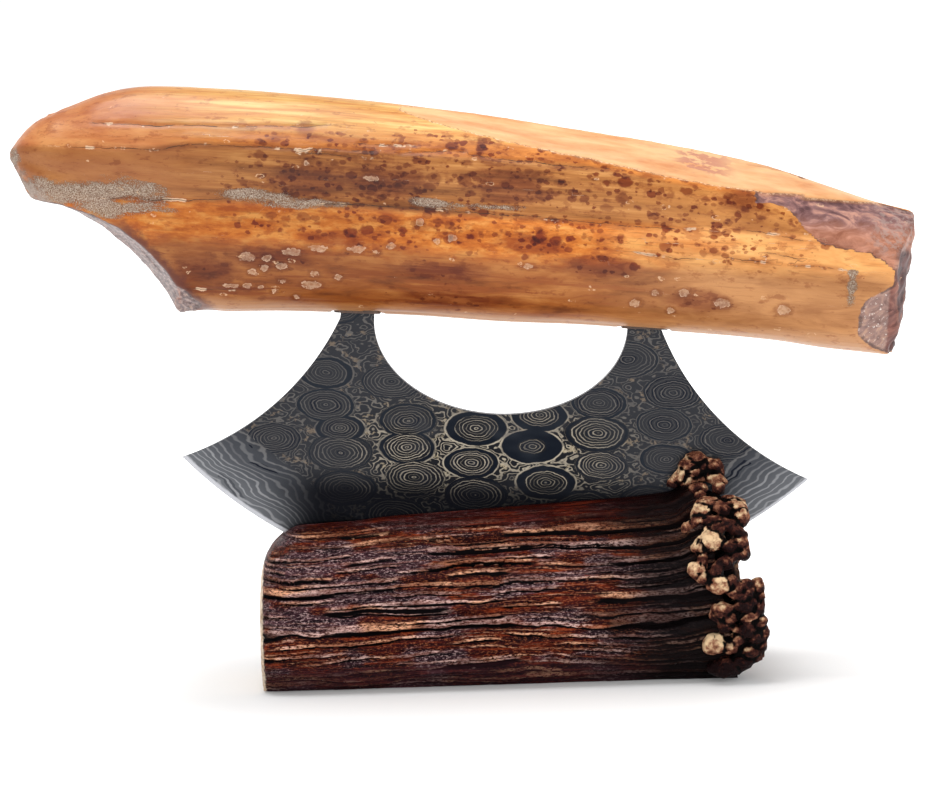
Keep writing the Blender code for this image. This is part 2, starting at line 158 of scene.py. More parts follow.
# The handle from its pointed end: share of the length, crown and underside as shares of the
# height, share of the depth
HANDLE_STATION_SHARES = (
    (0, 0.67, 0.62, 0.2), (0.007, 0.71, 0.57, 0.36), (0.018, 0.77, 0.49, 0.5),
    (0.036, 0.83, 0.4, 0.63), (0.063, 0.88, 0.28, 0.75), (0.095, 0.94, 0.17, 0.84),
    (0.131, 0.98, 0.09, 0.91), (0.177, 0.994, -0.02, 0.96), (0.193, 0.995, -0.06, 0.97),
    (0.202, 0.995, -0.038, 0.98), (0.212, 0.995, -0.022, 0.98), (0.25, 0.995, -0.015, 0.99),
    (0.3, 0.99, 0, 1), (0.37, 0.98, 0.01, 1), (0.46, 0.96, 0.016, 1), (0.55, 0.937, 0.01, 1),
    (0.64, 0.9, 0.016, 1), (0.71, 0.871, 0.01, 0.99), (0.77, 0.836, 0.005, 0.98),
    (0.815, 0.8, 0, 0.97), (0.86, 0.75, -0.01, 0.95), (0.905, 0.7, -0.027, 0.93),
    (0.95, 0.65, -0.037, 0.9), (1, 0.61, -0.048, 0.86),
)

# Swells and flutes along the handle: place and width as shares of the section's height from
# the crown, then rise as a share of its depth
FRONT_FLUTE_SHARES = ((0.27, 0.12, 0.12), (0.51, 0.09, -0.16))
BACK_FLUTE_SHARES = ((0.35, 0.15, 0.05), (0.6, 0.1, -0.08))

# The handle's cut and broken faces: a point, the way the face looks, how far the cutter
# reaches, and the sizes and heights of its roughness
HANDLE_FACES = {
    "flat": ((54.9, -14.8, 36.2), (0.122, -0.356, 0.927), 84, ((30, 0.3), (8, 0.1))),
    "end": ((98.2, 0, 19.7), (0.993, -0.08, -0.085), 42, ((9, 1), (3.2, 1), (1.8, 0.7))),
    "facet": ((97.8, -5, 19.7), (0.904, -0.42, -0.075), 40, ((8, 0.6), (2.5, 0.6))),
    "chip": ((85, -14, 7.7), (0.484, -0.771, -0.414), 36, ((9, 0.15), (3, 0.25), (1.5, 0.2))),
    "corner": ((-72.7, -2.6, -0.8), (-0.3, -0.4, -0.867), 24, ((6, 0.5), (2, 0.2))),
    "tip": ((-108.3, 0, 46.8), (-0.515, 0, 0.857), 34, ((6, 0.8), (2.6, 1.5))),
}

# The holder from its sawn end: share of the length, shares of the height above the base and of
# the depth, share of the swelling into the burr
STAND_STATION_SHARES = (
    (0, 0.66, 0.8, 0), (0.006, 0.73, 0.88, 0), (0.018, 0.8, 0.93, 0), (0.04, 0.87, 0.97, 0),
    (0.065, 0.92, 0.99, 0), (0.12, 0.94, 1, 0), (0.19, 0.95, 1, 0), (0.26, 0.97, 1, 0),
    (0.33, 0.98, 1, 0), (0.4, 0.99, 1, 0), (0.47, 1, 1, 0), (0.54, 1.01, 1, 0), (0.61, 1.02, 1, 0),
    (0.68, 1.03, 1, 0), (0.75, 1.04, 1, 0), (0.81, 1.05, 1, 0.05), (0.85, 1.05, 1, 0.15),
    (0.88, 1.05, 1, 0.4), (0.91, 1.05, 1, 0.6), (0.945, 1.05, 1, 0.55), (0.98, 1.05, 1, 0.3),
    (1, 1, 0.95, 0),
)

# Knobs of the burr that show from the front: place across and up, half width and half height,
# slope in degrees, and how pale, from 0 to 10
BURR_KNOBS = (
    (54.5, 52.5, 2.4, 1.4, 0, 6), (53, 51, 2.6, 1.4, -10, 7), (56.5, 50, 1.8, 1.2, 0, 3),
    (59, 50.5, 2.2, 1.4, 20, 4), (50.5, 48, 2.6, 1.2, -35, 9), (48.5, 46, 1.2, 1.2, 0, 5),
    (54, 49, 2.6, 1.2, 0, 7), (57.5, 48, 1.8, 1.2, 0, 2), (60, 48.5, 1.4, 1.4, 0, 4),
    (52.5, 46.5, 2.4, 1.1, -10, 9), (56, 47, 2.2, 1, 0, 7), (59.5, 46.5, 2.4, 1.2, 10, 7),
    (55, 44.5, 2.2, 1.6, 0, 4), (60, 44.5, 1.6, 1.6, 0, 4), (55.5, 43, 1.4, 1, 0, 4),
    (55.5, 38.5, 2.4, 2, -20, 8), (57, 41, 3.2, 1.3, -10, 6), (61, 39.5, 2.6, 1.5, 25, 4),
    (64.5, 39.5, 2.6, 1.8, 20, 7), (65.5, 37, 1.8, 2.2, 0, 6), (62.5, 42, 1.8, 1, 0, 2),
    (65, 41, 1.8, 1, 20, 5), (52, 35, 1.5, 1.3, -20, 6), (55, 36.5, 2.6, 1.1, -15, 5),
    (58.5, 36.5, 2.6, 1.1, 0, 4), (62, 35.5, 2.6, 1.3, 20, 3), (64.5, 33.5, 2.4, 1.3, 30, 2),
    (59, 34.5, 2.6, 1, 0, 2), (57.5, 31.5, 3, 2.3, 0, 10), (55.5, 30, 2.2, 1.7, 0, 8),
    (60, 32, 1.3, 1.3, 0, 8), (62.5, 30, 2.2, 1.5, 0, 1), (65, 30.5, 2, 1.9, 0, 4),
    (66, 28.5, 1.3, 2.2, 0, 3), (64, 27.5, 2.2, 1, -10, 3), (55.5, 27, 1.3, 1.8, 0, 4),
    (54, 24.5, 2.3, 1.9, -10, 9), (55.5, 22.5, 1.5, 1.3, 0, 8), (59, 24, 1.5, 2, 0, 3),
    (61, 26, 2.2, 1.6, 0, 1), (59.5, 20.5, 2.5, 2.1, 0, 9), (58, 21, 1.4, 1.4, 0, 6),
    (62.5, 21.5, 1.5, 1.3, 0, 5), (69, 20.3, 1.7, 2, 0, 5), (66.4, 21, 1.3, 1, 0, 3),
    (64.4, 20, 1.3, 1.2, 0, 4), (66.6, 18.6, 1.4, 1.2, 0, 3), (62.8, 18.3, 1.2, 1.1, 0, 5),
    (64.9, 17.4, 1.5, 1.1, 0, 3), (69.3, 17.4, 1.4, 1.5, 0, 4), (67.2, 16.2, 1.4, 1.2, 0, 2),
    (65.3, 15, 2, 1.6, 0, 1), (61, 0.4, 4.2, 2.4, -8, 0), (65, 2, 3.2, 2.2, -20, 0),
    (69, 14.5, 1.6, 2.2, 0, 2), (60, 14.5, 2.6, 1.7, 0, 6), (58.5, 13, 1.7, 1.3, 0, 5),
    (61.5, 12.5, 1.9, 1.9, 0, 5), (60.5, 10.5, 1.7, 1.7, 0, 4), (63.5, 9.5, 1, 0.9, 0, 9),
    (66.5, 12.5, 2.4, 1.3, -15, 6), (69, 11.5, 1.9, 2.2, 0, 6), (66, 9.5, 2.2, 1.6, 0, 1),
    (69.8, 8.5, 1.4, 2.6, 0, 5), (68, 7.5, 2.2, 1.6, 0, 4), (63.5, 7, 2.2, 1.5, -20, 5),
    (58, 6, 3.2, 2.4, -10, 10), (61.5, 5.5, 2.6, 1.9, 0, 8), (66.5, 4, 2.6, 1.7, 10, 5),
    (67.5, 3, 2.2, 1.8, 0, 5), (64, 2, 2.2, 1.3, 0, 3), (69.2, 5.5, 1.5, 2.2, 0, 4),
)

# Knobs behind: how many, and how far one lies above the last as a share of the burr's height
KNOBS_BEHIND = 70
KNOB_SEED = 5
GOLDEN_SHARE = 0.618


# Numbers and noise


def cell_number(cells, seed):
    """A repeatable number from -1 to 1 for each whole-numbered cell."""
    mixed = cells.astype(np.int64) @ np.array((374761393, 668265263, 1440662683)) + seed * 982451653
    mixed = (mixed ^ (mixed >> 13)) * 1274126177
    mixed = mixed ^ (mixed >> 16)
    return (mixed & 0xFFFF) / 0x7FFF - 1


def noise(points, size, seed=0):
    """Smooth noise from -1 to 1 with bumps of about this size, one number or one per axis."""
    scaled = points / np.array(size, dtype=float)
    whole = np.floor(scaled)
    part = scaled - whole
    fade = part**3 * (part * (part * 6 - 15) + 10)
    total = np.zeros(len(points))
    for corner in itertools.product((0, 1), repeat=3):
        weight = np.prod(np.where(corner, fade, 1 - fade), axis=1)
        total += weight * cell_number(whole + corner, seed)
    return total


def fractal(points, size, octaves, seed=0):
    """Noise with finer and weaker noise added to it."""
    size = np.array(size, dtype=float)
    return sum(noise(points, size / 2**step, seed + step) / 2**step for step in range(octaves))


def ease(value, low, high):
    """From 0 at the low value to 1 at the high one, smoothly."""
    share = np.clip((value - low) / (high - low), 0, 1)
    return share * share * (3 - 2 * share)


def angles(count):
    """This many angles, evenly round a circle from 0."""
    return np.arange(count) * math.tau / count


def between_rows(table, places):
    """Rows of a table at any places along its first column, on a smooth curve through them."""
    table = np.array(table)
    along, values = table[:, 0], table[:, 1:]
    slopes = np.gradient(values, along, axis=0)
    after = np.clip(np.searchsorted(along, places), 1, len(along) - 1)
    span = (along[after] - along[after - 1])[:, None]
    t = np.clip((places - along[after - 1])[:, None] / span, 0, 1)
    start = (2 * t**3 - 3 * t**2 + 1) * values[after - 1] + (t**3 - 2 * t**2 + t) * span * slopes[after - 1]
    end = (3 * t**2 - 2 * t**3) * values[after] + (t**3 - t**2) * span * slopes[after]
    return start + end


# Meshes


def mesh_from(name, points, faces):
    mesh = bpy.data.meshes.new(name)
    mesh.from_pydata(np.asarray(points).tolist(), [], faces)
    mesh.validate()
    return mesh


def tube_faces(rings, count):
    """Quads over rings of points laid one after another."""
    index = np.arange(rings * count).reshape(rings, count)
    after = np.roll(index, -1, axis=1)
    quads = np.stack((index[:-1], after[:-1], after[1:], index[1:]), axis=-1)
    return quads.reshape(-1, 4).tolist()


def closed_tube(name, rings):
    """A tube over rings of points, closed at both ends by fans round their middles."""
    count, around = rings.shape[:2]
    points = np.concatenate((rings.reshape(-1, 3), rings[[0, -1]].mean(axis=1)))
    faces = tube_faces(count, around)
    for first, middle in ((0, count * around), ((count - 1) * around, count * around + 1)):
        ring = [first + step for step in range(around)]
        faces += [(a, b, middle) for a, b in zip(ring, ring[1:] + ring[:1])]
    return outward(mesh_from(name, points, faces))


def outward(mesh):
    """The mesh with all its faces looking out."""
    shape = bmesh.new()
    shape.from_mesh(mesh)
    bmesh.ops.recalc_face_normals(shape, faces=shape.faces)
    shape.to_mesh(mesh)
    shape.free()
    return mesh


def mesh_of(name, shape):
    """The mesh of a shape that was being made, which is put away."""
    mesh = bpy.data.meshes.new(name)
    shape.to_mesh(mesh)
    shape.free()
    return mesh


def new_object(name, mesh):
    thing = bpy.data.objects.new(name, mesh)
    bpy.context.scene.collection.objects.link(thing)
    return thing


def finished_mesh(thing):
    """The mesh that an object's modifiers give, and the object and its modifiers put away."""
    bpy.context.view_layer.update()
    graph = bpy.context.evaluated_depsgraph_get()
    mesh = bpy.data.meshes.new_from_object(thing.evaluated_get(graph))
    tools = [step.object for step in thing.modifiers if step.type == "BOOLEAN"]
    for used in [thing] + tools:
        bpy.data.objects.remove(used, do_unlink=True)
    return mesh


def cut(piece, tool, operation="DIFFERENCE"):
    boolean = piece.modifiers.new(tool.name, "BOOLEAN")
    boolean.operation = operation
    boolean.solver = "EXACT"
    boolean.object = tool


def remesh(piece, size):
    voxels = piece.modifiers.new("voxels", "REMESH")
    voxels.mode = "VOXEL"
    voxels.voxel_size = size


def box_tool(name, low, high):
    corners = list(itertools.product(*zip(low, high)))
    faces = [(0, 1, 3, 2), (4, 6, 7, 5), (0, 4, 5, 1), (2, 3, 7, 6), (0, 2, 6, 4), (1, 5, 7, 3)]
    return new_object(name, outward(mesh_from(name, corners, faces)))


def read_all(items, key, width, kind=float):
    """One row of numbers for each of a mesh's points or edges."""
    values = np.empty(len(items) * width, dtype=kind)
    items.foreach_get(key, values)
    return values.reshape(-1, width)


def points_of(mesh):
    return read_all(mesh.vertices, "co", 3)


def normals_of(mesh):
    return read_all(mesh.vertex_normals, "vector", 3)


def edges_of(mesh):
    return read_all(mesh.edges, "vertices", 2, np.int64)


def put_points(mesh, points):
    mesh.vertices.foreach_set("co", points.ravel())
    mesh.update()


def evened(values, edges, rounds):
    """Values on a mesh after rounds of evening out between neighbours."""
    count = len(values)
    first, second = edges.T
    shared = np.bincount(first, minlength=count) + np.bincount(second, minlength=count)
    values = values.reshape(count, -1)
    for _ in range(rounds):
        columns = [
            np.bincount(first, column[second], count) + np.bincount(second, column[first], count)
            for column in values.T
        ]
        values = (values + np.stack(columns, axis=1) / shared[:, None]) / 2
    return values


def put_floats(mesh, **named):
    """Keeps a number for each point, which the materials read by its name."""
    for name, values in named.items():
        layer = mesh.attributes.new(name, "FLOAT", "POINT")
        layer.data.foreach_set("value", np.ascontiguousarray(values, dtype=np.float32))


def place_piece(name, mesh, body, node, where):
    """Puts a finished mesh in the model's frame, in metres, and stands it for its node."""
    mesh.transform(where @ Matrix.Scale(MM, 4))
    mesh.shade_smooth()
    piece = new_object(name, mesh)
    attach(piece, body)
    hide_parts(node)
    return piece


def frame_at(x, z, turn):
    return Matrix.Translation((x * MM, 0, z * MM)) @ Matrix.Rotation(turn, 4, "Y")


def seen_at(points, where=Matrix()):
    """Where points of a frame show in the plane of the blade, across and up, from the photograph's
    eye for the front ones and from its mirror image behind for the others."""
    eye = np.array(where.inverted() @ (Vector(EYE) * MM)) / MM
    mirrored = np.stack((points[:, 0], -np.abs(points[:, 1]), points[:, 2]), axis=1)
    share = eye[1] / (eye[1] - mirrored[:, 1])
    seen = eye + (mirrored - eye) * share[:, None]
    return seen[:, 0], seen[:, 2]


def on_sight(x, z, y):
    """The place at this depth that shows at a place in the plane of the blade."""
    share = (y - EYE[1]) / -EYE[1]
    return EYE[0] + (x - EYE[0]) * share, y, EYE[2] + (z - EYE[2]) * share


KNIFE_FRAME = frame_at(KNIFE_SHIFT, KERF_FLOOR + SEAT_GAP + EDGE_RADIUS, KNIFE_TILT)
HANDLE_FRAME = KNIFE_FRAME @ frame_at(0, -NECK_DROP, HANDLE_SLOPE)


# Materials


def srgb(tone):
    """A picture's three numbers as a shader's colour; anything else stays as it is."""
    if not isinstance(tone, tuple) or len(tone) != 3:
        return tone
    shares = [value / 255 for value in tone]
    linear = [v / 12.92 if v <= 0.04045 else ((v + 0.055) / 1.055) ** 2.4 for v in shares]
    return (*linear, 1)


class Value:
    """What a node gives, for plain arithmetic with numbers and other values."""

    def __init__(self, nodes, socket):
        self.nodes = nodes
        self.socket = socket

    def __add__(self, other):
        return self.nodes.math("ADD", self, other)

    def __sub__(self, other):
        return self.nodes.math("SUBTRACT", self, other)

    def __rsub__(self, other):
        return self.nodes.math("SUBTRACT", other, self)

    def __mul__(self, other):
        return self.nodes.math("MULTIPLY", self, other)

    def __truediv__(self, other):
        return self.nodes.math("DIVIDE", self, other)

    def __gt__(self, other):
        return self.nodes.math("GREATER_THAN", self, other)

    def __lt__(self, other):
        return self.nodes.math("LESS_THAN", self, other)

    def __abs__(self):
        return self.nodes.math("ABSOLUTE", self)


class Nodes:
    """A node tree being made: most methods add a node and give its value. Sizes and distances are
    in millimetres, one number or one per axis, and a colour's three numbers are a picture's."""

    def __init__(self, tree):
        self.tree = tree

    def node(self, kind, joins=None, **settings):
        node = self.tree.nodes.new("ShaderNode" + kind)
        for key, value in settings.items():
            setattr(node, key, value)
        for key, value in (joins or {}).items():
            self.join(value, node.inputs[key])
        return node

    def value(self, output, kind, joins=None, **settings):
        return Value(self, self.node(kind, joins, **settings).outputs[output])

    def join(self, value, socket):
        if isinstance(value, Value):
            self.tree.links.new(value.socket, socket)
        else:
            socket.default_value = value

    def math(self, operation, *values):
        return self.value(0, "Math", dict(enumerate(values)), operation=operation)

    def vector(self, operation, *values):
        return self.value("Vector", "VectorMath", dict(enumerate(values)), operation=operation)

    def axes(self, value):
        return [Value(self, part) for part in self.node("SeparateXYZ", {0: value}).outputs]

    def length(self, *axes):
        """The length of a vector, or of the one that has these values along its axes."""
        whole = axes[0] if len(axes) == 1 else self.value(0, "CombineXYZ", dict(enumerate(axes)))
        return self.value("Value", "VectorMath", {0: whole}, operation="LENGTH")

    def oval(self, x, z, across, up, half_length, half_height):
        """How far out of an oval a place is, 0 in its middle and 1 on its line."""
        return self.length((x - across) / half_length, (z - up) / half_height)

    def ease(self, value, low, high):
        """From 0 at the low value to 1 at the high one, smoothly."""
        joins = {"Value": value, "From Min": low, "From Max": high}
        return self.value("Result", "MapRange", joins, interpolation_type="SMOOTHSTEP")

    def fade(self, value, near, far, least):
        """From 1 at the near value down to the least one at the far one, evenly."""
        joins = {"Value": value, "From Min": near, "From Max": far, "To Min": 1, "To Max": least}
        return self.value("Result", "MapRange", joins)

    def mix(self, share, first, second, blend="MIX"):
        """From the first colour to the second as the share goes from 0 to 1."""
        joins = {0: share, 6: srgb(first), 7: srgb(second)}
        return self.value(2, "Mix", joins, data_type="RGBA", blend_type=blend)

    def blend(self, share, first, second):
        """The same for numbers."""
        return self.value(0, "Mix", {0: share, 2: first, 3: second}, data_type="FLOAT")

    def ramp(self, value, *stops):
        """The colour at a value, blended between stops: each a place and its colour."""
        node = self.node("ValToRGB", {"Fac": value})
        ramp = node.color_ramp.elements
        for stop, (place, *tone) in enumerate(stops):
            element = ramp[stop] if stop < 2 else ramp.new(place)
            element.position = place
            element.color = srgb(tuple(tone))
        return Value(self, node.outputs["Color"])


class Shader(Nodes):
    """The node tree of a new material, with its surface and its piece's own frame."""

    def __init__(self, name, roughness=0.5, metallic=0.0, specular=0.5, frame=Matrix()):
        self.material = bpy.data.materials.new(name)
        self.material.use_nodes = True
        super().__init__(self.material.node_tree)
        self.surface = self.tree.nodes["Principled BSDF"].inputs
        self.surface["Roughness"].default_value = roughness
        self.surface["Metallic"].default_value = metallic
        self.surface["Specular IOR Level"].default_value = specular
        joins = {
            "Vector": self.value("Object", "TexCoord"),
            "Location": frame.to_translation(),
            "Rotation": frame.to_euler(),
            "Scale": (MM, MM, MM),
        }
        self.place = self.value(0, "Mapping", joins, vector_type="TEXTURE")

    def scaled(self, size, place=None):
        """The place counted in this size."""
        sizes = size if isinstance(size, tuple) else (size, size, size)
        return self.vector("DIVIDE", place or self.place, sizes)

    def noise(self, size, detail=3, roughness=0.5, distortion=0, seed=0):
        """Noise from about 0 to 1, with bumps of this size."""
        joins = {"Vector": self.scaled(size), "W": seed, "Scale": 1, "Detail": detail}
        joins |= {"Roughness": roughness, "Distortion": distortion}
        return self.value("Fac", "TexNoise", joins, noise_dimensions="4D")

    def sway(self, size, detail=3, roughness=0.5, reach=1, seed=0):
        """Noise round 0, over about this reach in all."""
        return (self.noise(size, detail, roughness, seed=seed) - 0.5) * reach

    def cells(self, size, place):
        """Cells of this size: the distance from a cell's own point, and the cell's colour."""
        cell = self.node("TexVoronoi", {"Vector": self.scaled(size, place), "Scale": 1}, feature="F1")
        return Value(self, cell.outputs["Distance"]), Value(self, cell.outputs["Color"])

    def swayed(self, size, reach, place=None):
        """The place moved about by noise of this size."""
        joins = {"Scale": 1, "Detail": 2, "Vector": self.scaled(size, place)}
        shift = self.vector("SUBTRACT", self.value("Color", "TexNoise", joins), (0.5, 0.5, 0.5))
        shift = self.vector("MULTIPLY", shift, (reach, reach, reach))
        return self.vector("ADD", place or self.place, shift)

    def kept(self, name):
        """A number that the mesh keeps for each of its points."""
        return self.value("Fac", "Attribute", attribute_name=name)

    def bump(self, height, distance):
        return self.value("Normal", "Bump", {"Height": height, "Distance": distance * MM})

    def finish(self, colour, roughness, normal):
        for key, value in (("Base Color", colour), ("Roughness", roughness), ("Normal", normal)):
            self.join(value, self.surface[key])
        return self.material


# Handle


def flute_rise(flutes, down_share):
    return sum(rise * np.exp(-(((down_share - place) / width) ** 2)) for place, width, rise in flutes)


def handle_skin():
    """The handle before anything was cut or broken off, as rings of points."""
    along = np.linspace(0, 1, HANDLE_RINGS) ** 1.25
    crown, under, depth = between_rows(HANDLE_STATION_SHARES, along).T[:, :, None]
    angle = (np.arange(HANDLE_POINTS) + 0.5) * math.tau / HANDLE_POINTS
    down = (1 - np.cos(angle)) / 2
    front = flute_rise(FRONT_FLUTE_SHARES, down)
    back = flute_rise(BACK_FLUTE_SHARES, down)
    flutes = np.where(angle < math.pi, front, back) * (0.4 + 0.6 * ease(along, 0.05, 0.3))[:, None]
    reach = np.sin(angle) * (1 + flutes)
    x = np.repeat(along[:, None] * HANDLE_LENGTH - HANDLE_LEFT_REACH, HANDLE_POINTS, axis=1)
    y = -reach * depth * HANDLE_DEPTH / 2
    z = (crown + (under - crown) * down) * HANDLE_HEIGHT
    return np.stack((x, y, z), axis=-1)


def rough_plane(name, point, facing, reach, roughness):
    """A block whose near face is a rough plane: it takes away all that lies in front of it."""
    count = int(2 * reach / FACE_STEP)
    side = np.linspace(-reach, reach, count)
    across, up = np.meshgrid(side, side, indexing="ij")
    turn = np.array(Vector((0, 0, 1)).rotation_difference(Vector(facing)).to_matrix())
    near = np.stack((across.ravel(), up.ravel(), np.zeros(count**2)), axis=1) @ turn.T + point
    rise = sum(height * noise(near, size, 3) for size, height in roughness)
    near = near + rise[:, None] * np.array(facing)
    far = near + 2 * reach * np.array(facing)
    index = np.arange(count**2).reshape(count, count)
    quads = np.stack((index[:-1, :-1], index[1:, :-1], index[1:, 1:], index[:-1, 1:]), axis=-1)
    rim = np.concatenate((index[:-1, 0], index[-1, :-1], index[:0:-1, -1], index[0, :0:-1]))
    beyond = np.roll(rim, -1)
    walls = np.stack((rim, beyond, beyond + count**2, rim + count**2), axis=-1)
    faces = quads.reshape(-1, 4).tolist() + walls.tolist()
    faces += (quads.reshape(-1, 4)[:, ::-1] + count**2).tolist()
    return new_object(name, outward(mesh_from(name, np.concatenate((near, far)), faces)))


def scoop_tool():
    """The hollow break under the pointed end: a rough rod across the handle."""
    depth = HANDLE_DEPTH / 2 + OVERRUN
    across = np.linspace(-depth, depth, SCOOP_RINGS)
    y, angle = np.meshgrid(across, angles(SCOOP_POINTS), indexing="ij")
    rings = np.stack((SCOOP_RADIUS * np.cos(angle), y, SCOOP_RADIUS * np.sin(angle)), axis=-1)
    flat = rings.reshape(-1, 3)
    out = flat * (1, 0, 1) / SCOOP_RADIUS
    rise = 0.35 * noise(flat, (7, 14, 7), 1) + 0.25 * noise(flat, (2.5, 8, 2.5), 2)
    flat = flat + out * rise[:, None]
    rings = (flat - flat[:, 1:2] * (SCOOP_LEAN, 0, 0)).reshape(rings.shape)
    rod = new_object("scoop", closed_tube("scoop", rings))
    rod.location = (SCOOP_CENTRE[0], 0, SCOOP_CENTRE[1])
    return rod


def mortise_tool(side):
    """The mortise for one tang, in the handle's frame."""
    inner = GAP_WIDTH / 2 - BED_WALL - SEAT_GAP
    outer = GAP_WIDTH / 2 + TANG_WIDTH + BED_WALL + SEAT_GAP
    half_depth = PLATE_THICKNESS / 2 + BED_WALL + SEAT_GAP
    top = TANG_LENGTH + BED_WALL + SEAT_GAP
    low, high = sorted((side * inner, side * outer))
    tool = box_tool(f"mortise_{side}", (low, -half_depth, -OVERRUN), (high, half_depth, top))
    tool.rotation_euler = (0, -HANDLE_SLOPE, 0)
    return tool


def skin_depth(mesh, skin):
    """How deep below the handle's first skin each point of its mesh lies."""
    tree = BVHTree.FromPolygons([v.co for v in skin.vertices], [f.vertices for f in skin.polygons])
    return np.array([tree.find_nearest(vert.co)[3] for vert in mesh.vertices])


# Long cracks of the front: each one's line from left to right
CRACKS = (
    ((-107.5, 37), (-97.7, 37.3), (-84.3, 37.8), (-78.3, 39.1), (-73.4, 39.6), (-51.4, 39.8), (-33, 40.1)),
    ((-51.3, 38.9), (-36.6, 38.4), (-33, 38.6)), ((-36.8, 41.9), (-23.3, 41.9)),
    ((-26.9, 40), (-17.1, 41), (-11, 41.3)), ((-9.7, 40.6), (5, 39.5), (22.1, 39.3), (27, 39)),
    ((-101.7, 43.2), (-93.2, 43.4), (-76.1, 43.9), (-62.6, 44.6), (-45, 45.6)),
    ((-95.8, 25.1), (-87.3, 25.6), (-77.5, 25.4), (-67.8, 26.7)),
    ((-45.7, 26.2), (-36, 27.2), (-22.5, 26.7), (-16.4, 26.8), (13.1, 26.3), (27.8, 25.4), (47.4, 25.5)),
    ((-76.3, 3.9), (-64.1, 4.8)), ((57.1, 26), (71.9, 24.4)), ((32, 19.3), (40, 18.6), (46, 18.4)),
    ((55.2, 19), (65, 18)), ((63.7, 20.5), (72.3, 19.8)), ((70.8, 18.2), (82.6, 17.5)),
)

# Filled pits of the front: place along and up, half length and half height
PITS = (
    (-62.6, 12.8, 1.9, 1.2), (-57.7, 12.8, 1.2, 0.9), (-51.7, 14.6, 2.4, 0.9),
    (-45.6, 15.9, 2.6, 0.8), (-35.9, 16.2, 2.3, 0.9), (-31.4, 15.8, 0.8, 0.5),
    (-27.6, 17.4, 1.4, 0.7), (-58.3, 10.3, 1.2, 0.8), (-61.2, 9.2, 1, 0.7), (-53.9, 11, 1.2, 0.8),
    (-46, 9.5, 1.2, 0.8), (-40.2, 9, 1, 0.7), (-53.7, 7.4, 1, 0.5), (-66, 5.6, 2.4, 0.5),
    (-62.2, 5.6, 1.3, 0.9), (-58.8, 5.6, 1, 0.5), (-55.5, 4.8, 0.8, 0.5), (-46.6, 6.8, 2.6, 1),
    (-50.3, 3.6, 0.9, 0.6), (-13.1, 20.2, 1.1, 1), (-16.9, 19.2, 0.8, 0.7), (-21.1, 23.6, 1.2, 1),
    (-49.3, 36.3, 1, 0.7), (-33, 33.6, 2.2, 0.6), (44.1, 9.9, 1.3, 1), (37.2, 9.5, 1, 0.7),
    (41.1, 5.5, 0.9, 0.7), (32.5, 6.8, 1.4, 0.9), (53.7, 7.9, 2, 1.2), (68.7, 7.1, 1.8, 1.2),
    (5.6, 14.4, 1.6, 0.6),
)

# Chalky patches of the front: place along and up, half length and half height
CHALKS = (
    (-103, 26.3, 18.5, 3.6), (-95, 23, 12.5, 2.6), (-114, 26, 6.5, 4.2), (-62, 28, 9, 1.5),
    (-50, 26.8, 10, 1.5), (-17.5, 28.3, 7.5, 1.6), (-5, 28.2, 8, 0.9), (-120.4, 33, 1.6, 2.6),
    (84.9, 14.1, 1.1, 4.2),
)

# The layer broken off under the flat: the lower and the upper border of the hollow that it left,
# from left to right, and how deep the hollow is pressed in
HOLLOW_BORDER = (
    (59.2, 37), (60, 32.5), (63.6, 33.2), (67.6, 31.7), (70.9, 29.5), (73.3, 26.4), (75.6, 24.6),
    (81.3, 22.7), (89.2, 21.9), (94.8, 18.8), (100, 16),
)
HOLLOW_TOP = ((58.8, 36.4), (72.3, 34.7), (83.6, 34.5), (92.4, 34.3), (95.9, 33.8), (99.1, 33))
HOLLOW_DEPTH = 0.9

# Marks of the back: how many of each kind
BACK_CRACKS = 9
BACK_PITS = 16
BACK_CHALKS = 4
BACK_SEED = 11


def marks_behind():
    """Cracks, pits and chalky patches for the handle's back, like those of its front."""
    chance = random.Random(BACK_SEED)
    cracks = []
    for _ in range(BACK_CRACKS):
        x, z, run = chance.uniform(-95, 60), chance.uniform(8, 42), chance.uniform(15, 60)
        cracks.append([(x + run * step / 4, z + chance.uniform(-0.8, 0.8)) for step in range(5)])
    pits = [
        (chance.uniform(-85, 80), chance.uniform(6, 32), chance.uniform(0.9, 2.4), chance.uniform(0.6, 1.1))
        for _ in range(BACK_PITS)
    ]
    chalks = [
        (chance.uniform(-90, 60), chance.uniform(14, 34), chance.uniform(7, 15), chance.uniform(1.4, 2.6))
        for _ in range(BACK_CHALKS)
    ]
    return cracks, pits, chalks


def crack_distance(points, seen, cracks):
    """Signed height over the nearest crack's line in millimetres, larger towards and past its ends."""
    x, z = seen
    sway = 0.25 * noise(points * (1, 0, 0), 5, 21) + 0.12 * noise(points * (1, 0, 0), 1.7, 22)
    best = np.full(len(points), 9.0)
    for line in cracks:
        xs, zs = np.array(line).T
        inside = np.minimum(x - xs[0], xs[-1] - x)
        over = z - np.interp(x, xs, zs) - sway
        over = over + np.sign(over) * (0.1 * (1 - ease(inside, 0, 5)) + np.maximum(-inside, 0) * 0.8)
        best = np.where(np.abs(over) < np.abs(best), over, best)
    return np.clip(best, -9, 9)


def out_of_oval(seen, x, z, half_length, half_height):
    """How far out of an oval points show, 0 in its middle and 1 on its line."""
    return np.hypot((seen[0] - x) / half_length, (seen[1] - z) / half_height)


def pit_distance(points, seen, pits):
    """How far a point lies outside the nearest pit, in millimetres, less than 0 inside."""
    wobble = 0.3 * noise(points, 1.3, 31)
    best = np.full(len(points), 9.0)
    for pit in pits:
        best = np.minimum(best, (out_of_oval(seen, *pit) - 1) * min(pit[2:]) + wobble)
    return best


def chalk_share(points, seen, chalks):
    """How chalky the surface is, from 0 to 1."""
    best = np.zeros(len(points))
    ragged = 0.4 * fractal(points, (6, 2, 2), 3, 41)
    for chalk in chalks:
        best = np.maximum(best, 1.3 - out_of_oval(seen, *chalk) + ragged)
    return np.clip(best, 0, 1)


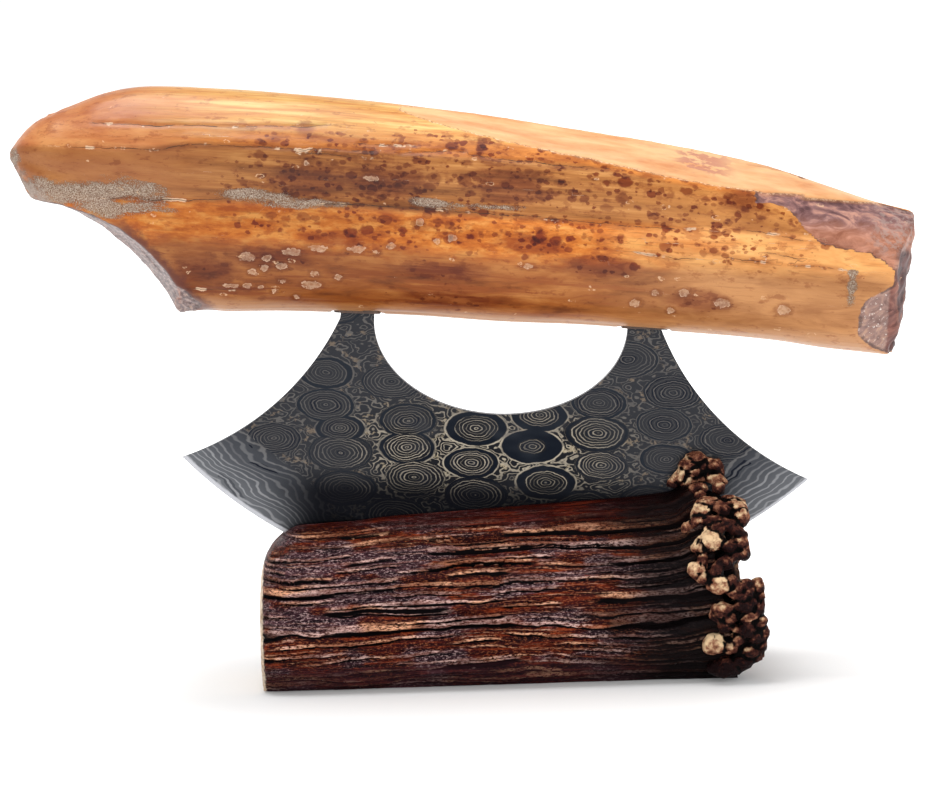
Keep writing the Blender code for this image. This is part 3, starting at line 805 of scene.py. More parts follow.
def break_shares(points, depth, flat):
    """Which break each point below the first skin belongs to, a share from 0 to 1 for each."""
    apart = {
        name: np.abs((points - np.array(point)) @ np.array(facing))
        for name, (point, facing, _, _) in HANDLE_FACES.items()
    }
    across = points[:, 0] - SCOOP_CENTRE[0] + points[:, 1] * SCOOP_LEAN
    up = points[:, 2] - SCOOP_CENTRE[1]
    apart["scoop"] = np.abs(np.hypot(across, up) - SCOOP_RADIUS)
    apart["flat"] = np.where(flat > 0.5, 0, 99)
    nearest = np.argmin(np.stack(list(apart.values())), axis=0)
    deep = depth > 0.2
    return {name: ((nearest == index) & deep).astype(float) for index, name in enumerate(apart)}


def flat_share(points, normals, edges, depth, seen):
    """Where the polished flat is, and the bare layer over the hollow: from 0 to 1."""
    point, facing = (np.array(value) for value in HANDLE_FACES["flat"][:2])
    flat = (np.abs((points - point) @ facing) < 0.9) & (depth > 0.05) & (normals @ facing > 0.9)
    flat = np.clip(evened(flat.astype(float), edges, 2)[:, 0], 0, 1)
    above = seen[1] - np.interp(seen[0], *np.array(HOLLOW_TOP).T)
    layer = ease(above, -0.2, 0.4) * ease(seen[0], 70, 73) * ease(depth, 1.2, 0.6)
    return np.maximum(flat, layer)


def hollow_share(points, depth, seen, flat):
    """Where the layer under the flat is broken off: from 0 to 1."""
    xs, zs = np.array(HOLLOW_BORDER).T
    ragged = 0.5 * fractal(points, (3, 3, 3), 3, 55)
    hollow = ease(seen[1] - np.interp(seen[0], xs, zs) + ragged, 0, 0.8)
    hollow *= ease(seen[0] + 3 * ragged, xs[0] - 0.5, xs[0] + 2.5)
    return hollow * (points[:, 1] < 0) * (1 - flat) * ease(depth, 1.2, 0.6)


def handle_marks(mesh, depth):
    """Presses the handle's marks into its mesh and keeps them for its material."""
    points, normals, edges = points_of(mesh), normals_of(mesh), edges_of(mesh)
    seen = seen_at(points, HANDLE_FRAME)
    front = points[:, 1] < 0
    measures = (crack_distance, pit_distance, chalk_share)
    crack, pit, chalk = (
        np.where(front, measure(points, seen, ahead), measure(points, seen, behind))
        for measure, ahead, behind in zip(measures, (CRACKS, PITS, CHALKS), marks_behind())
    )
    sideways = ease(np.abs(normals[:, 1]), 0.25, 0.5)
    flat = flat_share(points, normals, edges, depth, seen)
    hollow = hollow_share(points, depth, seen, flat)
    breaks = {name: share * (1 - hollow) for name, share in break_shares(points, depth, flat).items()}
    # The hollow shows the same bare inside as the breaks do
    depth = np.maximum(depth, 1.7 * hollow)
    broken = ease(depth, 0.25, 0.8) * (1 - flat)
    rise = 0.22 * noise(points, (45, 14, 14), 51) + 0.05 * fractal(points, (24, 1.6, 1.6), 2, 52)
    rise += broken * (0.3 * fractal(points, 3.4, 3, 53) + 0.1) * (1 - 0.7 * breaks["scoop"])
    rise -= chalk * (0.12 + 0.2 * noise(points, 0.9, 54)) * (1 - broken)
    rise -= 0.14 * np.exp(-((crack / 0.45) ** 2)) * sideways
    rise -= 0.25 * (1 - ease(pit, -0.5, 0.1)) * sideways
    rise += 0.1 * np.exp(-(((pit - 0.15) / 0.3) ** 2)) * sideways
    rise -= hollow * HOLLOW_DEPTH
    # The core, where the mortises are, keeps its shape
    free = ease(np.abs(points[:, 1]), 3.4, 4.2) + ease(-points[:, 2], -1, 0.5) + ease(points[:, 2], 26, 28)
    put_points(mesh, points + normals * (rise * np.clip(free, 0, 1))[:, None])
    put_floats(mesh, crack=crack, pit=pit, chalk=chalk, flat=flat, depth=depth, sideways=sideways)
    put_floats(mesh, seen_x=seen[0], seen_z=seen[1], cracked=ease(np.abs(crack), 1.5, 1.1))
    for name, share in breaks.items():
        put_floats(mesh, **{"break_" + name: evened(share, edges, 1)[:, 0]})


def upper_ivory(m, x, z, streak, cloud, mottle):
    """The colour over the long crack: honey, peach at the pointed end and golden by the crack. Its
    lightest honey is partly a painted highlight from the light above.
    """
    top = m.ramp(streak, (0.36, 224, 152, 86), (0.5, 244, 192, 122), (0.62, 254, 226, 162))
    peach = m.ramp(cloud, (0.36, 196, 120, 80), (0.5, 216, 144, 98), (0.64, 234, 172, 124))
    top = m.mix(m.ease(x + z * 0.8, -62, -26), peach, top)
    golden = m.ramp(mottle, (0.36, 178, 102, 46), (0.6, 222, 146, 76))
    return m.mix(m.ease(z, 46.5, 42) * m.ease(x, -90, -60), top, golden)


def middle_ivory(m, x, streak, cloud):
    """The colour under the long crack: brown, partly the ivory's own and partly painted shade, and
    lighter towards both ends.
    """
    brown = m.ramp(streak, (0.34, 136, 86, 46), (0.5, 176, 118, 68), (0.66, 206, 152, 98))
    orange = m.ramp(cloud, (0.36, 170, 108, 68), (0.64, 196, 138, 92))
    brown = m.mix(m.ease(x, -62, -95), brown, orange)
    return m.mix(m.ease(x, 22, 56), brown, m.ramp(cloud, (0.36, 170, 110, 58), (0.62, 214, 152, 92)))


def valley_ivory(m, x, cloud, mottle):
    """The colour under the valley: amber, and gold towards the broken end."""
    amber = m.ramp(mottle, (0.36, 178, 90, 26), (0.5, 218, 132, 54), (0.64, 240, 174, 100))
    gold = m.ramp(cloud, (0.36, 216, 144, 82), (0.62, 244, 190, 130))
    return m.mix(m.ease(x + cloud * 30, 30, 72), amber, gold)


def low_ivory(m, x, streak, cloud):
    """The stained colour down to the underside, darkened further by painted shade where the faces look
    down.
    """
    low = m.ramp(cloud, (0.34, 108, 56, 28), (0.48, 156, 92, 46), (0.64, 184, 124, 74))
    low = m.mix(m.ease(streak, 0.52, 0.4), low, (146, 80, 40))
    return m.mix(m.ease(x, 8, 56), low, m.ramp(cloud, (0.34, 158, 106, 70), (0.62, 198, 146, 104)))


def ivory_bands(m, x, z):
    """Honey above the long crack, brown below it, amber under the valley, and stained grey-brown
    down to the underside, all streaked along the grain. The bands are partly the ivory's own colour
    and partly painted light: lighter on the faces that look up, as if lit from above, and painted
    shade in the brown band under the long crack and on the faces that look down."""
    streak = m.noise((30, 1.7, 1.7), 5, 0.65)
    fine = m.noise((12, 0.5, 0.5), 4, 0.6)
    cloud = m.noise((18, 7, 4.5), 4, 0.6, 0.5, seed=2)
    mottle = m.noise((6.5, 3, 2.2), 5, 0.62, seed=3.3)
    wander = m.sway((12, 30, 5), 4, 0.6, seed=6, reach=6)
    crack_height = m.ease(x, 10, 60) * -5 + 39.8 - m.ease(x, -74, -100) * 3
    low, amber = low_ivory(m, x, streak, cloud), valley_ivory(m, x, cloud, mottle)
    brown, top = middle_ivory(m, x, streak, cloud), upper_ivory(m, x, z, streak, cloud, mottle)
    colour = m.mix(m.ease(z + wander, 13.5, 19), low, amber)
    colour = m.mix(m.ease(z + wander * 0.25, 24.9, 26.9), colour, brown)
    colour = m.mix(m.ease(z + wander * 0.15 - crack_height, -0.7, 0.8), colour, top)
    colour = m.mix(m.ease(z + wander * 0.3, 3.2, 0.6), colour, (196, 148, 114))
    return m.mix(m.ease(fine, 0.53, 0.7) * 0.35, colour, (132, 76, 40)), streak, fine


# Stained places of the front: along and up, half length and half height
STAINS = (
    (-50, 44.5, 2.5, 2), (-7.4, 42.4, 1.1, 2.7), (-72, 9.5, 9, 3.4), (-58, 12.5, 10, 3),
    (-40, 18.5, 8, 2), (-30, 33, 12, 4.5), (-48, 32.5, 11, 4.5), (0, 34, 10, 5), (6, 19.5, 8, 2.6),
    (24, 15.5, 12, 3), (57, 33, 6, 3), (48, 8, 8, 3), (-15, 12, 12, 2.6), (-10, 5, 16, 2),
)


def stain_share(m, x, z):
    """How stained a place is, from 0 to 1."""
    best = None
    for stain in STAINS:
        apart = m.oval(x, z, *stain)
        best = apart if best is None else m.math("MINIMUM", best, apart)
    return m.ease(best + m.noise((5, 3, 2), 4, 0.6, seed=8) * 1.2, 1.9, 1.1)


def ivory_spots(m, colour, x, z):
    """The same with brown mineral spots: crowded places have more of them and bigger ones."""
    crowd = m.ease(x, -86, -46) * m.ease(x, 86, 66) * (m.ease(z, 12, 23) * m.ease(z, 49, 41))
    patchy = m.ease(m.noise((12, 8, 6), seed=4), 0.3, 0.6)
    crowd = crowd * m.blend(patchy, 0.45, 1)
    few = m.math("MAXIMUM", crowd * 0.85, 0.08)
    stain = stain_share(m, x, z)
    blotch = m.noise((4.2, 2.6, 2), 5, 0.65, seed=9)
    mottled = m.ease(blotch + (few + stain) * 0.07, 0.56, 0.65)
    colour = m.mix(mottled * 0.55, colour, (196, 160, 146), "MULTIPLY")
    colour = m.mix(stain * 0.75, colour, (186, 148, 138), "MULTIPLY")
    few = few + stain * 0.25
    for size, seed in ((1.2, 1), (1.9, 7), (2.7, 4)):
        place = m.vector("ADD", m.swayed(size * 0.6, size * 0.55), (seed * 13, seed * 7, seed * 5))
        apart, tint = m.cells((size * 1.4, size * 1.1, size), place)
        chance, shade, _ = m.axes(tint)
        radius = m.ease(chance, 1 - few, 1.15) * 0.62
        radius = radius - (radius < 0.02)
        spot = m.ease(radius - apart, -0.05, 0.12)
        strength = spot * m.blend(shade, 0.5, 1)
        colour = m.mix(strength, colour, (168, 116, 88), "MULTIPLY")
    return colour


def ivory_material():
    """Old ivory: honey and amber along the grain, mineral spots, cracks, pits and chalky rind."""
    m = Shader("fossil_ivory", roughness=0.3, specular=0.25, frame=HANDLE_FRAME)
    x, z = m.kept("seen_x"), m.kept("seen_z")
    colour, streak, fine = ivory_bands(m, x, z)
    colour = ivory_spots(m, colour, x, z)
    colour = m.mix(1, colour, (0.95, 0.86, 0.66, 1), "MULTIPLY")
    # Darker towards the pointed end
    leftward_darkening = m.ease(x + streak * 30, 22, -32)
    colour = m.mix(leftward_darkening, colour, (0.74, 0.7, 0.66, 1), "MULTIPLY")
    # Dark border along the hollow break
    past = (x + 95.5) * 0.668 + (z - 19.5) * 0.745 + m.sway(2.6, 4, 0.6, reach=5)
    border = m.ease(past, 3.4, 1.2) * m.ease(z, 22, 17)
    colour = m.mix(border * 0.85, colour, (90, 44, 34))
    grit = m.noise(0.26, roughness=0.75)
    solid = m.ease(x + z, -84, -92)
    rind = m.ramp(grit, (0.38, 88, 64, 50), (0.48, 144, 120, 102), (0.6, 196, 184, 168))
    rind = m.mix(solid * 0.75, rind, (160, 150, 144))
    thin = m.sway((6, 2.5, 2), 3, 0.6, seed=16, reach=1.6)
    chalk = m.kept("chalk") + thin + (grit - 0.5) * 1.6
    gritty = m.ease(chalk, 0.25, 0.75) * m.ease(m.kept("chalk"), 0.02, 0.15)
    colour = m.mix(gritty * 0.9, colour, rind)
    colour, broken = broken_ivory(m, colour, x, z)
    colour = pitted_ivory(m, colour, x, z)
    shine = m.blend(broken, m.blend(gritty, m.blend(fine, 0.22, 0.4), 0.8), 0.45)
    relief = streak * 0.4 + fine * 0.12 + gritty * (grit * 2) + broken * m.noise(1.6, 5, 0.65)
    return m.finish(colour, shine, m.bump(relief, 0.12))


def flat_ivory(m, colour, x, z, flat):
    """The same with its polished flat, rosy in one place and worn pale along its rim."""
    peach = m.ramp(m.noise((16, 5, 5), 4, 0.6, seed=9), (0.35, 214, 144, 92), (0.6, 236, 188, 136))
    rosy = m.ease(x, 38, 43) * m.ease(x, 57, 49) * m.ease(z + x * 0.13, 44.6, 46.2)
    rosy = rosy * m.ease(m.noise((5, 4, 4), 4, 0.6, seed=14), 0.48, 0.54)
    colour = m.mix(flat * 0.9, colour, m.mix(rosy * 0.8, peach, (186, 118, 100)))
    rim = m.ease(flat, 0.25, 0.45) * m.ease(flat, 0.8, 0.6)
    grit = m.noise(0.8, 4, 0.7, seed=2)
    worn = m.ramp(grit, (0.42, 122, 84, 62), (0.5, 206, 152, 108), (0.56, 250, 214, 176))
    return m.mix(rim * 0.7, colour, worn)


def break_colour(m, x, z):
    """The colour of the broken faces, each kind with its own."""
    flake = m.noise((7, 4, 4), 5, 0.6, 1.5, seed=3)
    umber = m.ramp(flake, (0.36, 88, 58, 60), (0.5, 136, 97, 94), (0.62, 192, 142, 124))
    lilac = m.ramp(flake, (0.36, 112, 84, 78), (0.5, 148, 116, 106), (0.62, 178, 140, 120))
    lilac = m.mix(m.ease(m.noise(0.8, roughness=0.7), 0.58, 0.66), lilac, (222, 210, 202))
    stained = m.ramp(flake, (0.38, 86, 48, 44), (0.6, 140, 92, 80))
    lilac = m.mix(m.ease(x, 93.9, 94.6) * m.ease(z, 20, 17), lilac, stained)
    scratch = m.noise((0.9, 14, 0.7), roughness=0.6)
    hollow = m.ramp(scratch, (0.4, 88, 68, 66), (0.52, 118, 96, 92), (0.62, 152, 128, 120))
    orange = m.ramp(flake, (0.38, 144, 88, 66), (0.6, 194, 134, 108))
    face = m.mix(m.ease(z + flake * 12, 32, 37), orange, umber)
    lower = m.math("MAXIMUM", m.kept("break_end"), m.kept("break_facet")) * m.ease(z, 26, 22)
    face = m.mix(lower, face, m.ramp(flake, (0.38, 54, 28, 30), (0.6, 100, 62, 58)))
    face = m.mix(m.kept("break_chip"), face, lilac)
    face = m.mix(m.math("MAXIMUM", m.kept("break_scoop"), m.kept("break_corner")), face, hollow)
    face = m.mix(m.kept("break_tip"), face, (196, 128, 84))
    frost = m.ease(x, 86, 93) * m.ease(m.noise(1.6, 4, 0.7, seed=5), 0.46, 0.58) * m.ease(z, 20, 25)
    return m.mix(frost * 0.6, face, (168, 146, 138))


def broken_ivory(m, colour, x, z):
    """The same with its flat and its broken faces, which have a dark seam along their rims."""
    flat = m.kept("flat")
    colour = flat_ivory(m, colour, x, z, flat)
    below = m.kept("depth") + m.sway(1.2, 3, 0.6, reach=0.5)
    seam = m.ease(below, 1, 0.6) * m.ease(m.noise(3, roughness=0.6, seed=7), 0.4, 0.5)
    seam = seam * (1 - m.kept("break_tip"))
    face = m.mix(seam * 0.7, break_colour(m, x, z), (74, 52, 48))
    broken = m.ease(below, 0.25, 0.42) * (1 - flat)
    return m.mix(broken, colour, face), broken


def nearest_pit(m, x, z, pits):
    """How far a place lies outside the nearest pit, in millimetres, less than 0 inside."""
    nearest = None
    for pit in pits:
        apart = (m.oval(x, z, *pit) - 1) * pit[3]
        nearest = apart if nearest is None else m.math("MINIMUM", nearest, apart)
    return nearest


def pitted_ivory(m, colour, x, z):
    """The same with its filled pits and its cracks."""
    crack, sideways = m.kept("crack"), m.kept("sideways")
    behind = m.axes(m.place)[1] > 0
    wobble = m.noise(1.1, 3, 0.6) - 0.5
    x = x + m.sway(1.6, 3, 0.6, seed=3, reach=2)
    pit = m.blend(behind, nearest_pit(m, x, z, PITS), nearest_pit(m, x, z, marks_behind()[1]))
    pit = pit + 0.12 + wobble * 1.5
    fill = m.ramp(m.noise(0.9, 3, 0.6), (0.4, 158, 122, 98), (0.6, 210, 180, 152))
    inside = m.ease(pit, 0.02, -0.15) * sideways
    colour = m.mix(inside * 0.42, colour, fill)
    halo = m.ease(pit, 0.9, 0.2) * sideways
    colour = m.mix((halo - inside) * 0.45, colour, (186, 150, 138), "MULTIPLY")
    rim = m.ease(abs(pit), 0.12, 0.02) * sideways
    rim = rim * m.ease(m.noise(1.5, 2, seed=21), 0.38, 0.52)
    colour = m.mix(rim * 0.65, colour, (220, 184, 154))
    apart, tint = m.cells((4.2, 3, 2.2), m.swayed(1.1, 1.2))
    chance, size, _ = m.axes(tint)
    ring = m.ease(abs(apart - m.blend(size, 0.06, 0.24)), 0.06, 0.02)
    ring = ring * (chance > 0.8) * sideways * m.ease(wobble, -0.05, 0.06)
    colour = m.mix(ring * 0.6, colour, (226, 188, 150))
    kink = m.sway((1.8, 9, 9), 3, 0.7, seed=30, reach=0.8)
    apart = abs(crack + kink)
    colour = m.mix(m.ease(apart, 1.3, 0.2) * 0.35, colour, (176, 136, 120), "MULTIPLY")
    crust = m.ease(m.noise((5, 6, 6), 3, 0.6, seed=6), 0.55, 0.61)
    pale = m.ease(apart + wobble * 0.6, 0.48, 0.28) * (crust * sideways)
    colour = m.mix(pale * 0.75, colour, (222, 190, 158))
    gaps = m.ease(m.noise((4, 4, 4), 3, 0.7, seed=12), 0.42, 0.5)
    wide = m.blend(m.noise((7, 9, 9), 3, 0.6, seed=15), -0.04, 0.17)
    dark = m.ease(apart - wide, 0.08, -0.06) * gaps * m.kept("cracked")
    return m.mix(dark * sideways, colour, (56, 34, 22))


def make_handle():
    skin = closed_tube("handle_skin", handle_skin())
    block = new_object("handle_block", skin.copy())
    cut(block, scoop_tool())
    for name, values in HANDLE_FACES.items():
        cut(block, rough_plane(name, *values))
    for side in (-1, 1):
        cut(block, mortise_tool(side))
    remesh(block, HANDLE_VOXEL)
    mesh = finished_mesh(block)
    put_points(mesh, evened(points_of(mesh), edges_of(mesh), 2))
    handle_marks(mesh, skin_depth(mesh, skin))
    mesh.materials.append(ivory_material())
    return place_piece("ivory_handle", mesh, "knife", "handle", HANDLE_FRAME)


# Blade


def arc_points(centre, radius_x, radius_z, start, end):
    angle = np.linspace(start, end, ARC_STEPS + 1)
    return [(centre[0] + radius_x * math.cos(a), centre[1] + radius_z * math.sin(a)) for a in angle]


def blade_outline():
    """The plate before its edge is ground: it runs past the round edge all along."""
    tip = Vector((BLADE_WIDTH / 2, -TIP_DROP))
    neck = Vector((GAP_WIDTH / 2 + TANG_WIDTH, -NECK_DROP))
    chord = neck - tip
    rise = math.sqrt(WAIST_RADIUS**2 - chord.length_squared / 4)
    centre = (tip + neck) / 2 + Vector((chord.y, -chord.x)).normalized() * rise
    past = BLADE_WIDTH / 2 + OVERRUN
    low = math.atan2(-math.sqrt(WAIST_RADIUS**2 - (past - centre.x) ** 2), past - centre.x)
    high = math.atan2(neck.y - centre.y, neck.x - centre.x)
    top = -NECK_DROP + TANG_LENGTH
    tang = [(GAP_WIDTH / 2 + TANG_TIP_WIDTH, top), (GAP_WIDTH / 2, top)]
    waist = arc_points(centre, WAIST_RADIUS, WAIST_RADIUS, low, high)
    right = [(past, -EDGE_RADIUS - OVERRUN)] + waist + tang
    gap = arc_points((0, -NECK_DROP), GAP_WIDTH / 2, GAP_DEPTH, 0, -math.pi)
    return right + gap + [(-x, z) for x, z in reversed(right)]


def plate_mesh(name, outline, thickness):
    """A flat plate with this outline, in the plane y = 0."""
    count = len(outline)
    points = [(x, side * thickness / 2, z) for side in (-1, 1) for x, z in outline]
    faces = [list(range(count)), list(range(2 * count - 1, count - 1, -1))]
    faces += [(i, (i + 1) % count, (i + 1) % count + count, i + count) for i in range(count)]
    return outward(mesh_from(name, points, faces))


def edge_tool():
    """The double cone whose skin is both ground faces of the edge."""
    half_edge = EDGE_THICKNESS / 2
    rise = half_edge + EDGE_RADIUS * (PLATE_THICKNESS - EDGE_THICKNESS) / 2 / BEVEL_WIDTH
    angle = angles(EDGE_POINTS)
    rings = [
        np.stack((radius * np.cos(angle), np.full(EDGE_POINTS, y), radius * np.sin(angle)), axis=1)
        for radius, y in ((1.0, -rise), (EDGE_RADIUS, -half_edge), (EDGE_RADIUS, half_edge), (1.0, rise))
    ]
    return new_object("edge_cone", closed_tube("edge_cone", np.array(rings)))


# The pattern's drops: each one's middle, across and up from the edge's centre, and where its dark
# outer layer starts, as a share of the way out
DROPS = (
    (-40.5, -45, 0.9), (-42.3, -60.9, 0.8), (-42, -68.7, 0.85), (-38.3, -74.4, 0.78),
    (-54.4, -77.5, 0.95), (-38.1, -80.3, 0.93), (-36.6, -89.1, 0.9), (-26.1, -62.5, 0.92),
    (-21.8, -71.9, 0.86), (-21.8, -78.5, 0.82), (-19.8, -85.8, 0.95), (-5.1, -73.2, 0.7),
    (-6, -81.8, 0.8), (-4.6, -89.5, 0.9), (8.7, -77.1, 0.46), (12.4, -86, 0.76), (10.2, -69.5, 0.72),
    (24.7, -66, 0.85), (24.5, -73.4, 0.88), (25.8, -81.2, 0.93), (31.2, -55, 0.92),
    (42.5, -62.7, 0.93), (40.8, -70.6, 0.9), (41.8, -79.1, 0.84), (56.5, -73.9, 0.93),
    (57, -82.2, 0.95), (-60, -88, 0.95), (33, -42, 0.92), (-24, -95.5, 0.9), (22, -92, 0.9),
    (3, -98, 0.95), (38, -90, 0.9),
)
DROP_HALF_WIDTH = 7.0
DROP_HALF_HEIGHT = 4.0
DROP_SEED = 3

# Layers across a drop and across the waves at the tips, and how far in from the edge those reach
LAYERS_PER_DROP = 7.6
LAYERS_PER_BEVEL = 11.0
GROUND_PATTERN = 17.0


def drop_places(m, x, z):
    """How far out of the nearest drop a place is, 0 in its middle and 1 at its rim, that drop's
    own number from 0 to 1, and where its dark outer layer starts."""
    chance = random.Random(DROP_SEED)
    nearest, number, inner = 9, 0, 1
    for across, up, layer in DROPS:
        stretch = chance.uniform(0.86, 1.12)
        half_sizes = DROP_HALF_WIDTH * stretch, DROP_HALF_HEIGHT * stretch
        apart = m.oval(x, z, across, up, *half_sizes)
        nearer = apart < nearest
        number = m.blend(nearer, number, chance.random())
        inner = m.blend(nearer, inner, layer)
        nearest = m.math("MINIMUM", nearest, apart)
    return nearest, number, inner


def steel_layer(m, y, ground, outside, number):
    """The number of the layer that shows, in rings round each drop, in loose contours between
    drops, and in long waves towards the edge."""
    rings = outside * LAYERS_PER_DROP + number * 40
    loose = m.noise((6.5, 40, 4), 2, seed=1) * 11 + outside * 3
    waves = ground * LAYERS_PER_BEVEL + m.noise((26, 60, 9), seed=4) * 7
    fan = m.ease(ground, 0, 0.3)
    ripple = m.noise((1.7, 30, 1.2), 2, seed=5) * m.blend(fan, 0.9, 0.25)
    layer = m.blend(m.ease(outside, 1.02, 1.04), rings, loose)
    layer = m.blend(fan > 0.3, layer, waves) + ripple
    return layer + m.ease(y, -1, 1) * 0.5


def steel_tones(m, x, z, ground, line, chance, broad, between):
    """The colour of the bright and the dark layers."""
    fan = m.ease(ground, 0, 0.3)
    # The rings stand out most low in the middle of the plate and least near the necks
    vivid = m.ease(z, -64, -76) * m.ease(abs(x + 2), 42, 16)
    vivid = vivid * m.ease(m.noise((14, 40, 7), 2, seed=8), 0.26, 0.52)
    bright = m.mix(vivid, (92, 89, 87), (168, 158, 141))
    bright = m.mix(fan, bright, m.mix(m.ease(ground, 0.3, 0.9), (106, 106, 108), (146, 147, 150)))
    dark = m.mix(vivid, (50, 51, 55), (27, 28, 32))
    dark = m.mix(fan, dark, m.mix(m.ease(ground, 0.3, 1), (66, 68, 73), (100, 102, 106)))
    dark = m.mix(m.ease(chance, 0.78, 0.82) * (1 - between), dark, (28, 31, 40))
    dark = m.mix(broad, dark, m.mix(vivid, (38, 42, 49), (18, 23, 32)))
    colour = m.mix(line, dark, bright)
    tan = m.ease(m.noise((3.4, 9, 2.4), 4, 0.7, seed=3), 0.56, 0.62)
    tan = tan * (between * m.ease(fan, 0.3, 0)) * m.ease(m.noise(0.9, 2, seed=4), 0.36, 0.5)
    return m.mix(tan * 0.7, colour, m.mix(vivid, (120, 106, 92), (178, 164, 138)))


def steel_material():
    """Pattern-welded steel: layers show as rings round each drop and as waves along the edge."""
    m = Shader("pattern_welded_steel", roughness=0.4, metallic=0.9, specular=0.3, frame=KNIFE_FRAME)
    x, y, z = m.axes(m.swayed(1.3, 0.45, m.swayed(6, 1.3)))
    plain_x, _, plain_z = m.axes(m.place)
    radius = m.length(plain_x, 0, plain_z)
    ground = (radius - (EDGE_RADIUS - GROUND_PATTERN)) / GROUND_PATTERN
    ground = m.math("MAXIMUM", ground * m.ease(abs(plain_x), 36, 52), 0)
    outside, number, inner = drop_places(m, x, z)
    between = m.ease(outside, 1.02, 1.04)
    layer = steel_layer(m, y, ground, outside, number)
    band = abs(m.math("FRACT", layer) - 0.5)
    chance = m.value(0, "TexWhiteNoise", {"W": m.math("FLOOR", layer)}, noise_dimensions="1D")
    line = m.ease(band - m.blend(chance, 0.05, 0.17), 0.1, -0.06)
    line = line * m.blend(m.math("FRACT", chance * 7), 0.35, 1)
    # Each drop lies in a dark layer, and the broad ones have a pale rim
    drop = m.ease(m.ease(ground, 0, 0.3), 0.4, 0.2)
    broad = m.ease(outside - inner, 0, 0.03) * m.ease(outside, 1, 0.97) * drop
    rim = m.ease(abs(outside - 1.03), 0.05, 0.01) * drop
    rim = rim * m.ease(inner, 0.88, 0.78) * m.ease(m.noise((5, 40, 3), 2, seed=9), 0.3, 0.55)
    line = m.math("MAXIMUM", line * (1 - broad), rim)
    colour = steel_tones(m, x, z, ground, line, chance, broad, between)
    # Painted shade and a painted dark reflection of the holder, almost black, low on the plate where it
    # stands in the kerf
    painted_holder_shade = m.ease(plain_z, -82, -91) * m.ease(abs(plain_x), 60, 42)
    colour = m.mix(painted_holder_shade * 0.95, colour, (8, 9, 15))
    edge = radius - m.blend(m.ease(plain_x, -10, 30), EDGE_RADIUS - 1.1, EDGE_RADIUS - 0.7)
    edge = m.ease(edge + m.noise(1.2, 2) * 0.3, 0, 0.5)
    colour = m.mix(edge, colour, (186, 187, 192))
    facing = abs(m.axes(m.value("Normal", "NewGeometry"))[1])
    colour = m.mix(m.ease(facing, 0.85, 0.5), colour, (140, 140, 144))
    relief = line + m.noise(0.5) * 0.3
    return m.finish(colour, m.blend(line, 0.46, 0.36), m.bump(relief, 0.02))


def make_blade():
    plate = new_object("plate", plate_mesh("plate", blade_outline(), PLATE_THICKNESS))
    cut(plate, edge_tool(), "INTERSECT")
    mesh = finished_mesh(plate)
    mesh.materials.append(steel_material())
    piece = place_piece("ulu_blade", mesh, "knife", "blade", KNIFE_FRAME)
    mesh.set_sharp_from_angle(angle=SHARP_ANGLE)
    rounding = piece.modifiers.new("rounding", "BEVEL")
    rounding.width = PLATE_ROUNDING * MM
    rounding.segments = 2
    rounding.limit_method = "ANGLE"
    rounding.angle_limit = ROUNDED_ANGLE
    return piece


# Holder


def antler_size(along):
    """Crest height and half depth of the antler at shares of its length."""
    rows = between_rows(STAND_STATION_SHARES, np.clip(np.ravel(along), 0, 1))
    height, depth, burr = rows.T
    top = (1 - burr) * height * STAND_HEIGHT + burr * BURR_HEIGHT
    half_depth = ((1 - burr) * depth * STAND_DEPTH + burr * BURR_DEPTH) / 2
    return top.reshape(np.shape(along)), half_depth.reshape(np.shape(along))


def antler_round(top, half_depth, sink, angle):
    """Depth and height of rings round the antler, sunk this far below its skin."""
    half_height = (top + BASE_GRIND) / 2
    y = -(half_depth[:, None] - sink) * np.sin(angle)
    z = (top - half_height)[:, None] + (half_height[:, None] - sink) * np.cos(angle)
    return y, z


def burr_lean(x, z):
    """How far the burr and the foot lean over at this height."""
    grown = np.clip((x - BURR_REACH) / BURR_WIDTH + 1, 0, 1)
    return grown * BURR_LEAN * (0.5 - z / BURR_HEIGHT)


# The antler's ridges, coarse to fine: distance apart, depth of the furrows and seed, and how far
# down a ridge its rise and its fall take
RIDGES = ((5.0, 1.35, 81), (2.1, 0.75, 86), (1.1, 0.35, 91))
RIDGE_RISE = 0.74
RIDGE_FALL = 0.13


def groove(value, width):
    """A sharp furrow, 1 deep, where the value crosses 0."""
    return np.clip(1 - np.abs(value) / width, 0, 1) ** 1.4


def ridge_relief(x, around, whole):
    """How deep the antler's skin lies, how dark the painted shade of its furrows is, and how worn its
    crests. Each ridge rises slowly from above and falls off sharply below."""
    behind = around > whole / 2
    down = np.minimum(around, whole - around)
    flat = np.stack((x, down, behind * 50.0), axis=1)
    sway = 2.2 * noise(flat, (45, 16, 1), 61) + 0.8 * noise(flat, (14, 6, 1), 62)
    sway += 0.3 * noise(flat, (4.5, 3, 1), 63) + 0.1 * noise(flat, (1.6, 1, 1), 64)
    depth, furrow, crest = np.zeros(len(x)), np.zeros(len(x)), np.zeros(len(x))
    for apart, deep, seed in RIDGES:
        ridge, phase = np.divmod((down + sway) / apart + behind * 100, 1)
        along = np.stack((x, ridge, np.zeros(len(x))), axis=1)
        strength = ease(noise(along, (7 + 3 * apart, 1, 1), seed), -0.35, 0.35)
        rise, fall = (phase / RIDGE_RISE) ** 0.8, 1 - (phase - RIDGE_RISE) / RIDGE_FALL
        rise = np.where(phase < RIDGE_RISE, rise, fall).clip(0, 1)
        depth += strength * deep * (1 - rise)
        furrow = np.maximum(furrow, strength * ease(phase, 0.79, 0.86) * min(deep, 1))
        worn = strength * ease(phase, 0.4, 0.6) * ease(phase, 0.83, 0.77)
        crest = np.maximum(crest, worn * min(deep * 1.6, 1))
    hair = groove(noise(flat + (0, 1, 0) * sway[:, None], (12, 0.8, 1), 67), 0.4)
    pores = ease(noise(flat, (1.3, 0.6, 1), 69), 0.35, 0.75)
    depth += 0.2 * hair + 0.2 * pores
    return depth, np.clip(furrow + 0.3 * hair, 0, 1), crest


